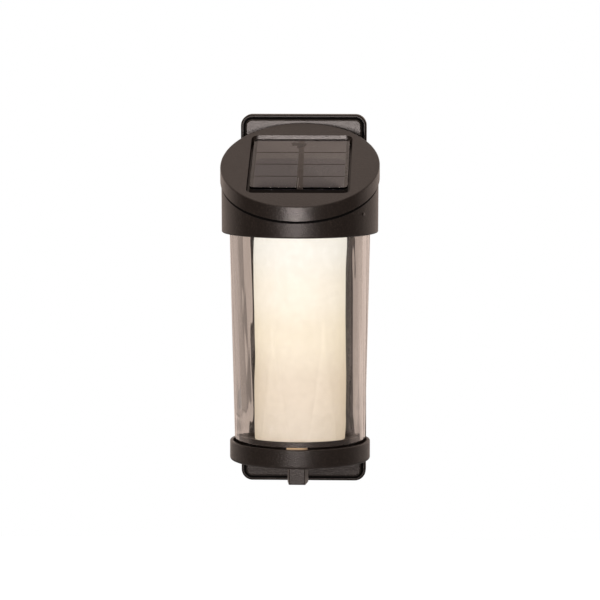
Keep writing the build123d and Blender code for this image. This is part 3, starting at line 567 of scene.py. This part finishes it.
def bent_block(section, start, stop, count):
    """Closed block round the axis: section rows (radius, height) swept between two angles from the front."""
    angle = np.linspace(start, stop, count)[:, None]
    radius, height = section[None, :, 0], section[None, :, 1]
    block = np.stack([radius * np.sin(angle), axis_y - radius * np.cos(angle), height + 0 * angle], axis=-1)
    ends = [np.broadcast_to(block[i].mean(axis=0), block[i].shape)[None] for i in (0, -1)]
    return np.concatenate([ends[0], block, ends[1]])


lug_points = points_of("clear_shade")
lug_radius = from_axis(lug_points)
lug_tips = lug_points[lug_radius > shade_top[1] + 0.8 * MM]
lug_low, lug_high = lug_tips[:, 2].min(), lug_tips[:, 2].max()
lug_reach = lug_radius.max()
LUGS = 3
LUG_HALF = math.radians(5.0)

shade_lip = 0.45 * MM
shade_profile = wall_profile(shade_foot, shade_top, shade_low[2], shade_high[2], shade_lip)
rise = (shade_profile[:, 1] - shade_low[2]) / (shade_high[2] - shade_low[2])
middle_radius = np.interp(rise, [0.0, 1.0], [sum(shade_foot) / 2, sum(shade_top) / 2])
is_inner = shade_profile[:, 0] < middle_radius
SWELL, SWELL_FOOT, SWELL_TOP = 1.5 * MM, 0.14, 0.02
swell = np.clip(rise / SWELL_FOOT, 0, 1) * np.clip((0.995 - rise) / SWELL_TOP, 0, 1)
shade_profile[:, 0] -= np.where(is_inner, SWELL * swell * swell * (3 - 2 * swell), 0.0)
shade_grids = [(turned_wall(shade_profile, 288, shade_wave), True, True)]
lug_inner = shade_top[1] - 0.6 * MM
lug_section = np.array([(lug_inner, lug_low), (lug_reach, lug_low),
                        (lug_reach, lug_high), (lug_inner, lug_high)])
for lug in range(LUGS):
    middle = math.pi + lug * 2 * math.pi / LUGS
    shade_grids.append((bent_block(lug_section, middle - LUG_HALF, middle + LUG_HALF, 9), False, True))
shade = make_piece("moulded_shade", shade_grids, "lantern", clear_shade_finish)
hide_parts("clear_shade")
shade.visible_shadow = False

# %% [markdown]
# ## The candle sleeve
# The sleeve copies a dipped candle: its side swells and dips by a tenth of a millimetre or two, with no
# two places alike. A few sines with unrelated periods are enough for that.

# %% Sleeve
def wax_wave(angle, height):
    """Slow swell of poured wax: sines of angle and height whose periods never line up."""
    return (0.09 * np.sin(3 * angle + 70 * height) + 0.06 * np.sin(5 * angle - 120 * height + 0.7)
            + 0.05 * np.sin(2 * angle + 210 * height + 2.1)) * MM


sleeve_profile = wall_profile(sleeve_foot, sleeve_top, sleeve_low[2], sleeve_high[2], 0.6 * MM)
sleeve_grid = turned_wall(sleeve_profile, 240, wax_wave)
sleeve = make_piece("wax_sleeve", [(sleeve_grid, True, True)], "lantern", candle_finish)
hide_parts("candle_sleeve")

# %% [markdown]
# ## The panel's clear cover
# The cast cover is a slab with soft corners and a slightly rounded top edge. Its outline is a rounded
# rectangle, and the same outline is drawn in step by step as it climbs over the edge. In the photograph the
# cover reads a little higher and shorter than the frame's, so the slab is raised and shortened to match.

# %% Slanted slab
def rounded_rectangle(width, length, corner, per_corner=10):
    """Outline of a rectangle with round corners, counter-clockwise, as rows (x, y)."""
    turns = np.linspace(0, np.pi / 2, per_corner)
    sides = []
    for quarter in range(4):
        sign_x = 1 if quarter in (0, 3) else -1
        sign_y = 1 if quarter in (0, 1) else -1
        centre = np.array([sign_x * (width / 2 - corner), sign_y * (length / 2 - corner)])
        angle = turns + quarter * np.pi / 2
        sides.append(centre + corner * np.column_stack([np.cos(angle), np.sin(angle)]))
    return np.concatenate(sides)


def swept_outline(width, length, corner, section, per_corner=12):
    """A rounded rectangle taken once for each section row (outwards, level), wider by outwards all round."""
    loops = []
    for outwards, level in section:
        flat = rounded_rectangle(width + 2 * outwards, length + 2 * outwards, corner + outwards, per_corner)
        loops.append(np.column_stack([flat, np.full(len(flat), level)]))
    return np.stack(loops)


def slanted(points):
    """Points (x, along, up) from the middle of the lid's slanted face, carried to the frame's directions."""
    x, along, up = points[..., 0], points[..., 1], points[..., 2]
    cos, sin = math.cos(head_slope), math.sin(head_slope)
    y = slope_foot[1] + along * cos - up * sin
    z = slope_foot[2] + along * sin + up * cos
    return np.stack([x, y, z], axis=-1)


normal = np.array([0.0, -math.sin(head_slope), math.cos(head_slope)])
lid_points, window_points = points_of("head_lid"), points_of("panel_window")
lid_face = float((lid_points @ normal).max())
slope_foot = np.array([0.0, axis_y, (lid_face + axis_y * math.sin(head_slope)) / math.cos(head_slope)])
face_run = float(slope_foot @ uphill)


def slab_measures(points):
    """Width, length, corner radius and middle of a rounded rectangle on the slope, from its points."""
    runs = points @ uphill - face_run
    width, length = float(np.ptp(points[:, 0])), float(np.ptp(runs))
    straight_side = runs[np.abs(points[:, 0]) > width / 2 - 0.01 * MM]
    return width, length, (length - float(np.ptp(straight_side))) / 2, float(runs.min() + runs.max()) / 2


inside_rim = from_axis(lid_points) < lid_points[:, 0].max() - 2.5 * MM
on_face = (lid_points @ normal > lid_face - 0.01 * MM) & inside_rim
opening_width, opening_length, opening_corner, _ = slab_measures(lid_points[on_face])
cover_width, cover_length, cover_corner, cover_middle = slab_measures(window_points)
cover_levels = window_points @ normal - lid_face
cover_thick, cover_top = float(np.ptp(cover_levels)), float(cover_levels.max())
print("opening in mm:", np.round(np.array([opening_width, opening_length, opening_corner]) / MM, 2))
print("cover in mm:", np.round(np.array([cover_width, cover_length, cover_corner, cover_thick]) / MM, 2))


def cover_slab(width, length, corner, low, high, edge):
    """Closed slab: the outline at its foot, up its side, over a quarter-round edge and in to the middle."""
    turn = np.radians(np.linspace(0, 90, 6))
    section = [(0.0, low), *zip(-edge * (1 - np.cos(turn)), high - edge + edge * np.sin(turn))]
    rings = swept_outline(width, length, corner, section, 10)
    caps = [np.zeros_like(rings[:1]) + (0, 0, level) for level in (low, high)]
    return np.concatenate([caps[0], rings, caps[1]])


cell_levels = points_of("solar_cells") @ normal - lid_face
cell_top, cell_low = float(cell_levels.max()), float(cell_levels.min())
COVER_RAISE, COVER_SHORT = 1.0 * MM, 2.6 * MM
slab_points = cover_slab(cover_width, cover_length - COVER_SHORT, cover_corner, cell_top + 0.02 * MM,
                         cover_top + COVER_RAISE, 0.15 * MM)
cover_points = slanted(slab_points + (0.0, cover_middle + COVER_SHORT / 2, 0.0))
cover = make_piece("panel_cover", [(cover_points, False, True)], "head", panel_cover_finish)
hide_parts("panel_window")
cover.visible_shadow = False

# %% [markdown]
# ## The pocket's far wall
# A moulding tool opens straight up, so the far wall of the head's pocket stands plumb although the face round
# it slopes. That upright strip faces the lamp beside the camera and shines, while its round corners turn away
# and stay dark. It is a wedge between the plumb face and the square-cut wall behind it.

# %% Far wall
def plumb_wedge(width, length, corner, depth, per_corner=12, rows_down=5):
    """Under the outline's far half: one face drops plumb, so it creeps downhill by depth x tan(slope)."""
    far = rounded_rectangle(width, length, corner, per_corner)[:2 * per_corner]
    down = np.linspace(0.0, depth, rows_down)
    face = np.stack([np.column_stack([far[:, 0], far[:, 1] - d * math.tan(head_slope), 0 * far[:, 0] - d])
                     for d in down], axis=1)
    back = np.column_stack([far, 0 * far[:, 0] - depth])[:, None]
    return np.concatenate([face, back], axis=1)


wedge = plumb_wedge(opening_width - 0.04 * MM, opening_length - 0.04 * MM, opening_corner, 0.5 * MM - cover_top)
make_piece("pocket_far_wall", [(slanted(wedge), False, True)], "head", lid_plastic)

# %% [markdown]
# ## Painted shade in the groove round the panel
# A thin near-black band runs round the pocket's foot and leaves a black line beside the panel: painted shade,
# standing for the shadow in the gap between the panel and the pocket. It is a thin band: the opening's outline
# taken twice, a hair apart, at two depths.

# %% Painted groove shade
GROOVE_SHADE_OUT, GROOVE_SHADE_IN, GROOVE_SHADE_HIGH = -0.02 * MM, -0.14 * MM, -0.7 * MM
groove_shade_low = cover_top - cover_thick
groove_shade_section = [(GROOVE_SHADE_OUT, GROOVE_SHADE_HIGH), (GROOVE_SHADE_IN, GROOVE_SHADE_HIGH), (GROOVE_SHADE_IN, groove_shade_low), (GROOVE_SHADE_OUT, groove_shade_low)]
# Painted shade: a near-black band standing for the shadow in the gap round the panel.
band = swept_outline(opening_width, opening_length, opening_corner, groove_shade_section)
make_piece("groove_painted_shade", [(slanted(band), True, True)], "head", painted_shade_black)

# %% [markdown]
# ## Painted shade in the head's seam
# In the seam between the lid and the collar lies a thin near-black ring, whose lip folds over the collar's
# edge:
# painted shade, standing for the shadow in the seam, and it is what makes the seam read as a fine black line.
# Its section is carried round the axis and follows the seam's slope: the height rises with y by tan(slope).

# %% Seam shade ring
def sloped_ring(section, height_on_axis):
    """A closed section, rows (radius, lift), carried round the axis in a plane that leans like the head."""
    ring = turned_wall(section, 180, lambda angle, height: 0 * angle)
    ring[..., 2] += height_on_axis + math.tan(head_slope) * (ring[..., 1] - axis_y)
    return ring


def seam_height(node, extreme):
    """Height on the axis of a node's sloped edge: the extreme of z - tan(slope) y over its outer skin."""
    spot = points_of(node)
    radius = from_axis(spot)
    skin = spot[radius > radius.max() - 1.5 * MM]
    return float(extreme(skin[:, 2] - math.tan(head_slope) * (skin[:, 1] - axis_y)))


collar_edge, lid_edge = seam_height("collar", np.max), seam_height("head_lid", np.min)
collar_radius = float(np.ptp(points_of("collar")[:, 0])) / 2
print("seam of", round((lid_edge - collar_edge) / MM, 2), "mm")
seam_shade_section = np.array([(-2.3, 0.03), (0.03, 0.03), (0.03, -1.10), (0.20, -1.05), (0.24, -0.8), (0.24, 0.30),
                         (0.10, 0.45), (-2.3, 0.45)]) * MM + (collar_radius, 0.0)
# Painted shade: a near-black ring standing for the shadow in the head's seam.
seam_shade_ring = sloped_ring(seam_shade_section, collar_edge)
make_piece("seam_painted_shade", [(seam_shade_ring, True, True)], "head", painted_shade_black)

# %% [markdown]
# ## Painted shade round the plate's cover
# A near-black band lies in the groove round the raised cover of the back plate: painted shade, standing for the
# shadow in that groove. It fills the groove and laps a little over the rim, so the rim reads as a narrow line
# with a black one inside it. The band is one closed section carried round a rounded rectangle.

# %% Plate groove shade
rim_front = float(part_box("back_plate")[0][1])
raised_low, raised_high = (np.array(c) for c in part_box("plate_cover"))
raised_width, raised_height = raised_high[0] - raised_low[0], raised_high[2] - raised_low[2]
plate_points = points_of("plate_cover")
raised_side = plate_points[np.abs(plate_points[:, 0]) > raised_width / 2 - 0.01 * MM][:, 2]
raised_corner = (raised_height - float(np.ptp(raised_side))) / 2
raised_sizes = np.array([raised_width, raised_height, raised_corner])
print("raised cover in mm:", np.round(raised_sizes / MM, 2), "rim's front at", round(rim_front / MM, 2))

# Painted shade: a near-black band standing for the shadow in the groove round the plate's cover.
plate_shade_section = np.array([(0.05, 0.9), (0.05, -0.02), (0.3, -0.10), (1.5, -0.10), (1.7, -0.02), (1.7, 0.9)]) * MM
plate_shade_section[:, 1] += rim_front
raised_middle = float(raised_low[2] + raised_high[2]) / 2
loops = swept_outline(raised_width, raised_height, raised_corner, plate_shade_section)
plate_shade_band = np.stack([loops[..., 0], loops[..., 2], loops[..., 1] + raised_middle], axis=-1)
make_piece("plate_painted_shade", [(plate_shade_band, True, True)], "lantern", painted_shade_black)

# %% [markdown]
# ## The lock mark
# A small raised mark on the collar shows which way the shade turns. It is a dome h cos(pi r / 2) over a disc
# that stands on the collar's wall, taller than it is wide. Its light grey colour is a painted highlight, the
# glint the small dome would catch.

# %% Lock mark
collar_points = points_of("collar")
mark_centre = collar_points[from_axis(collar_points) > collar_radius + 0.15 * MM].mean(axis=0)
mark_angle = math.atan2(mark_centre[0], axis_y - mark_centre[1])


def wall_dome(centre, angle, half_width, half_height, height):
    """Dome on an upright wall: across follows the wall, up is z, and out is height cos(pi r / 2)."""
    share = np.linspace(0.0, 1.0, 12)[:, None]
    turn = np.linspace(0, 2 * np.pi, 32, endpoint=False)[None, :]
    across, up = half_width * share * np.cos(turn), half_height * share * np.sin(turn)
    out = height * np.cos(share * np.pi / 2) + 0 * turn
    return np.stack([centre[0] + across * math.cos(angle) + out * math.sin(angle),
                     centre[1] + across * math.sin(angle) - out * math.cos(angle), centre[2] + up], axis=-1)


mark_dome = wall_dome(mark_centre, mark_angle, 0.95 * MM, 1.2 * MM, 0.85 * MM)
make_piece("lock_mark", [(mark_dome, False, True)], "head", painted_glint_finish, closed=False)

# %% [markdown]
# ## Painted light on the rest
# The shade's foot stands on a short rest at the front of the ring. Light runs down inside the clear wall and
# leaves through its foot, and lights the rest's face amber. That light is painted: the glow could be a lamp,
# but a thin curved emissive plate on that face gives it an exact place, and its emission fades to the right and
# downwards.

# %% Painted light on the rest
ring_points = points_of("arm_and_ring")
ring_top = float(ring_points[np.abs(ring_points[:, 0]) > 20 * MM][:, 2].max())
on_rest = (ring_points[:, 1] < axis_y) & (ring_points[:, 2] > ring_top + 0.3 * MM)
rest_points = ring_points[on_rest]
rest_half = float(np.abs(rest_points[:, 0]).max())
rest_radius = float(from_axis(rest_points).max())
rest_top = float(rest_points[:, 2].max())
print("rest: half width", round(rest_half / MM, 2), "radius", round(rest_radius / MM, 2), "top",
      round(rest_top / MM, 2), "ring top", round(ring_top / MM, 2))


def painted_rest_light(name, left, right, low, high):
    """Painted light on bronze: emission rises with height and fades from left to right."""
    material, tree, shader = new_material(name)
    axes = add(tree, "ShaderNodeSeparateXYZ", {"Vector": object_place(tree)})
    fade = smooth_range(tree, axes.outputs["X"], left, right, 1.0, 0.12)
    rise = smooth_range(tree, axes.outputs["Z"], low, high, 0.45, 1.0)
    level = math_node(tree, "MULTIPLY", fade, rise)
    skin_tone = blend_colours(tree, clouds(tree, 0.002), (0.02, 0.012, 0.008), (0.03, 0.02, 0.012))
    feed(shader, {"Emission Color": blend_colours(tree, level, (0.02, 0.004, 0.001), (0.52, 0.34, 0.18)),
                  "Emission Strength": 1.0, "Base Color": skin_tone})
    return material


skin_radius, skin_rows = rest_radius + 0.03 * MM, 6
skin_heights = np.linspace(ring_top - 0.3 * MM, rest_top - 0.02 * MM, skin_rows)
outer_skin = np.column_stack([np.full(skin_rows, skin_radius + 0.12 * MM), skin_heights])
inner_skin = np.column_stack([np.full(skin_rows, skin_radius), skin_heights[::-1]])
skin_reach = math.asin(rest_half / skin_radius)
skin = bent_block(np.concatenate([outer_skin, inner_skin]), -skin_reach, skin_reach, 25)
# Painted light: an emissive amber finish standing for the candle's light falling on the rest.
rest_light_finish = painted_rest_light("painted_amber_light", 0.3 * rest_half, 1.3 * rest_half, ring_top, rest_top)
make_piece("rest_painted_light", [(skin, False, True)], "lantern", rest_light_finish)

# %% [markdown]
# ## Ribbons and solder
# A flat tinned ribbon runs down the gap between the two columns of cells and gathers their current. A bare
# wire's edge shines along its lower part, and two dark blobs of solder hold its upper end. All are small
# heights over a plane: a rounded bar, and a dome whose height falls off as a cosine.

# %% Ribbon and blobs
def ribbon(start, stop, width, thick, rows=60):
    """Low strip whose middle drifts evenly from start to stop, each (x, along); its top is half a cosine."""
    travel = np.linspace(0.0, 1.0, rows)[:, None]
    middle, along = (start[i] + travel * (stop[i] - start[i]) for i in (0, 1))
    across = np.linspace(-0.5, 0.5, 9)[None, :]
    crown = thick * (0.55 + 0.45 * np.cos(across * np.pi))
    ripple = 0.02 * MM * np.sin(along * 2 * np.pi / (4.1 * MM))
    top = np.stack([middle + across * width, along + 0 * across, cell_top + crown + ripple], axis=-1)
    under = top[:, ::-1].copy()
    under[..., 2] = cell_low + 0.02 * MM
    return np.concatenate([top, under], axis=1)


def solder_blob(x, along, radius, height, stretch):
    """Dome h cos(pi r / 2) over a stretched disc, with a wobble of three lobes round its edge."""
    share = np.linspace(0.0, 1.0, 10)[:, None]
    angle = np.linspace(0, 2 * np.pi, 28, endpoint=False)[None, :]
    edge = radius * (1 + 0.14 * np.sin(3 * angle + 1.0) + 0.07 * np.sin(5 * angle))
    across, uphill_part = stretch * edge * share * np.cos(angle), edge * share * np.sin(angle)
    up = cell_top + height * np.cos(share * np.pi / 2) + 0 * angle
    return np.stack([x + across, along + uphill_part, up], axis=-1)


cell_runs = points_of("solar_cells") @ uphill - face_run
cells_start, cells_stop = cell_runs.min(), cell_runs.max()
ribbon_line = ribbon((1.2 * MM, cells_start), (-0.3 * MM, cells_stop - 0.6 * MM), 3.7 * MM, 0.10 * MM)
make_piece("cell_ribbons", [(slanted(ribbon_line), False, True)], "head", ribbon_tin)
wire_foot, wire_head = (-0.72 * MM, cells_start + 0.6 * MM), (-0.45 * MM, cells_start + 15.0 * MM)
wire_edge = ribbon(wire_foot, wire_head, 0.55 * MM, 0.26 * MM)
make_piece("ribbon_edge", [(slanted(wire_edge), False, True)], "head", wire_tin)

blob_places = [(-0.6 * MM, cells_stop - 6.8 * MM, 4.6 * MM, 0.78),
               (-4.6 * MM, cells_stop - 5.0 * MM, 2.6 * MM, 1.2)]
blob_grids = [(slanted(solder_blob(x, along, radius, 0.22 * MM, stretch)), False, True)
              for x, along, radius, stretch in blob_places]
make_piece("solder_blobs", blob_grids, "head", flux_stain, closed=False)

# %% [markdown]
# ## Joints between the rows
# Four rows of cells leave three dark lines in each column. A low black bar stands for each line: a strip
# across the slope with a cosine for its top.

# %% Dark joints between the rows of cells
def level_bar(along, start, stop, width, thick, columns=30):
    """Low rounded bar across the slope at one place along it, from x = start to x = stop."""
    x = np.linspace(start, stop, columns)[:, None]
    across = np.linspace(-0.5, 0.5, 5)[None, :]
    up = cell_top + thick * (0.4 + 0.6 * np.cos(across * np.pi)) + 0 * x
    top = np.stack([x + 0 * across, along + across * width + 0 * x, up], axis=-1)
    under = top[:, ::-1].copy()
    under[..., 2] = cell_low + 0.02 * MM
    return np.concatenate([top, under], axis=1)


CELL_ROWS = 4
cell_edge = float(points_of("solar_cells")[:, 0].max())
row_pitch = (cells_stop - cells_start) / CELL_ROWS
joint_start, joint_stop = 1.9 * MM, cell_edge - 0.1 * MM
bars = [level_bar(cells_start + row * row_pitch, side * joint_start, side * joint_stop, 1.1 * MM, 0.06 * MM)
        for row in range(1, CELL_ROWS) for side in (-1, 1)]
joint_grids = [(slanted(bar), False, True) for bar in bars]
make_piece("cell_joints", joint_grids, "head", gap_black)

# %% [markdown]
# ## Studio
# The photograph is a product shot on white. One soft lamp stands beside the camera and draws an upright sheen
# on every round moulding and on the pocket's far wall, and a high one lights the upper edges. The camera sees
# pure white behind the light. Gloss and clear plastic see the room as it is: a warm backdrop that fades to
# dark at the sides, which is what flags do in a studio. Behind the light it hangs in drapes of uneven grey,
# the left ones slanted, and they give the thick clear wall its upright bands.

# %% Floor
def mirrored(tree, path):
    """1 for what gloss and clear plastic see, and 0 for every other ray."""
    return math_node(tree, "MAXIMUM", path.outputs["Is Glossy Ray"], path.outputs["Is Transmission Ray"])


def pale_floor(height, reach=6.0):
    """Flat floor that keeps a soft shadow below the light and runs out into the white backdrop."""
    mesh = bpy.data.meshes.new("studio_floor")
    mesh.from_pydata([(-reach, -reach, height), (reach, -reach, height), (reach, reach, height),
                      (-reach, reach, height)], [], [(0, 1, 2, 3)])
    floor = place_object("studio_floor", mesh)
    material, tree, shader = new_material("studio_floor_white")
    spread = {0: object_place(tree), 1: (1.0, 1.0, 0.0)}
    flat = add(tree, "ShaderNodeVectorMath", spread, operation="MULTIPLY").outputs[0]
    away = add(tree, "ShaderNodeVectorMath", {0: flat}, operation="LENGTH").outputs["Value"]
    whiter = smooth_range(tree, away, 0.6, 1.8, 0.75, 1.0)
    path = add(tree, "ShaderNodeLightPath")
    mirror = mirrored(tree, path)
    seen = math_node(tree, "MULTIPLY", path.outputs["Is Camera Ray"], whiter)
    seen = math_node(tree, "MAXIMUM", seen, math_node(tree, "MULTIPLY", mirror, FLOOR_LEVEL))
    feed(shader, {"Base Color": (0.8, 0.8, 0.8, 1.0), "Roughness": 0.9, "Emission Color": (1.0, 1.0, 1.0, 1.0),
                  "Emission Strength": seen})
    mesh.materials.append(material)


FLOOR_LEVEL = 0.10
pale_floor(float(cad_box[0][2]) - 1.20)


# %% World
def studio_world():
    """White for the camera; warm and uneven for gloss and clear plastic, and a low fill for the rest."""
    world = bpy.data.worlds.new("studio")
    world.use_nodes = True
    tree = world.node_tree
    background = tree.nodes["Background"]
    path = add(tree, "ShaderNodeLightPath")
    towards = add(tree, "ShaderNodeTexCoord").outputs["Generated"]
    axes = add(tree, "ShaderNodeSeparateXYZ", {"Vector": towards})
    wall = smooth_range(tree, axes.outputs["Y"], 0.0, 0.5, SIDE_LEVEL, BACK_LEVEL)
    dimmed = smooth_range(tree, axes.outputs["Z"], 0.3, 0.8, 1.0, HIGH_DIMMING)
    behind = math_node(tree, "MULTIPLY", wall, dimmed)
    above = smooth_range(tree, axes.outputs["Z"], 0.45, 0.80, 0.0, CEILING_LEVEL)
    room = math_node(tree, "MAXIMUM", behind, above)
    slant = math_node(tree, "SUBTRACT", 1.0 + DRAPE_SLANT * DRAPE_LEVEL,
                      math_node(tree, "MULTIPLY", axes.outputs["Z"], DRAPE_SLANT))
    left = math_node(tree, "MULTIPLY", math_node(tree, "MINIMUM", axes.outputs["X"], 0.0), slant)
    along = math_node(tree, "ADD", left, math_node(tree, "MAXIMUM", axes.outputs["X"], 0.0))
    sideways = math_node(tree, "ADD", math_node(tree, "MULTIPLY", along, 0.5), 0.5)
    drapes = add(tree, "ShaderNodeValToRGB", {"Fac": sideways})
    drapes.color_ramp.interpolation = "EASE"
    for index, (direction, level) in enumerate(DRAPES):
        stops = drapes.color_ramp.elements
        element = stops[index] if index < 2 else stops.new(1.0)
        element.position, element.color = 0.5 + 0.5 * direction, (level, level, level, 1.0)
    beyond = smooth_range(tree, axes.outputs["Y"], 0.2, 0.6, 0.0, 1.0)
    draped = mix_values(tree, beyond, room, drapes.outputs["Color"])
    through = mix_values(tree, path.outputs["Is Transmission Ray"], room, draped)
    mirror = mirrored(tree, path)
    level = mix_values(tree, mirror, WORLD_FILL, through)
    feed(background, {"Strength": math_node(tree, "MAXIMUM", level, path.outputs["Is Camera Ray"]),
                      "Color": blend_colours(tree, path.outputs["Is Camera Ray"], ROOM_TONE, (1.0, 1.0, 1.0))})
    bpy.context.scene.world = world


ROOM_TONE = (1.0, 0.81, 0.71)
SIDE_LEVEL = 0.08
BACK_LEVEL = 0.82
HIGH_DIMMING = 0.74
CEILING_LEVEL = 0.60
WORLD_FILL = 0.18
DRAPES = [(-0.50, 0.40), (-0.33, 0.30), (-0.27, 0.21), (-0.24, 0.54), (-0.12, 0.56), (0.02, 0.42),
          (0.15, 0.42), (0.35, 0.62)]
DRAPE_SLANT, DRAPE_LEVEL = 7.0, -0.097
studio_world()
print("the room hangs in", len(DRAPES), "drapes")


# %% Lamps
def aim(thing, target):
    """Turn a lamp or camera so that it looks at a point."""
    thing.rotation_euler = (Vector(target) - thing.location).to_track_quat("-Z", "Y").to_euler()


def softbox(name, place, size, radiance, target, colour):
    """Rectangular lamp with a given brightness: its power is radiance times pi times its area."""
    lamp = bpy.data.lights.new(name, "AREA")
    lamp.shape = "RECTANGLE"
    lamp.size, lamp.size_y = size
    lamp.energy = radiance * math.pi * size[0] * size[1]
    lamp.color = colour
    holder = place_object(name, lamp)
    holder.location = place
    aim(holder, target)
    holder.visible_camera = False
    holder.visible_transmission = False
    print(name, "gives", round(lamp.energy, 1), "W")


look_at = (0.0, axis_y, 0.0057)
LAMP_TONE = (1.0, 0.88, 0.84)
softbox("key_softbox", (-0.11, axis_y - 1.6, 0.07), (0.45, 0.35), 23.5, look_at, LAMP_TONE)
softbox("high_softbox", (-0.10, axis_y - 1.0, 1.15), (0.50, 0.35), 5.0, look_at, LAMP_TONE)

# %% [markdown]
# ## Camera
# The photograph was taken with a long lens a little above the light and a little to its right. The camera
# stands on that line: 2.1 m from the lantern's axis, 6.3 degrees up and 2.5 degrees round.

# %% Camera
def photo_camera():
    """Camera on a sphere round the lantern: azimuth towards +X, elevation above the level."""
    distance = 2.100
    azimuth, elevation = math.radians(2.47), math.radians(6.32)
    lens = bpy.data.cameras.new("photo_camera")
    lens.sensor_width = 36.0
    lens.lens = 180.0
    lens.clip_end = 30.0
    camera = place_object("photo_camera", lens)
    camera.location = (look_at[0] + distance * math.sin(azimuth) * math.cos(elevation),
                       look_at[1] - distance * math.cos(azimuth) * math.cos(elevation),
                       look_at[2] + distance * math.sin(elevation))
    aim(camera, look_at)
    bpy.context.scene.camera = camera
    print("camera at", [round(c, 3) for c in camera.location])


photo_camera()
bpy.context.scene.view_settings.view_transform = "Standard"
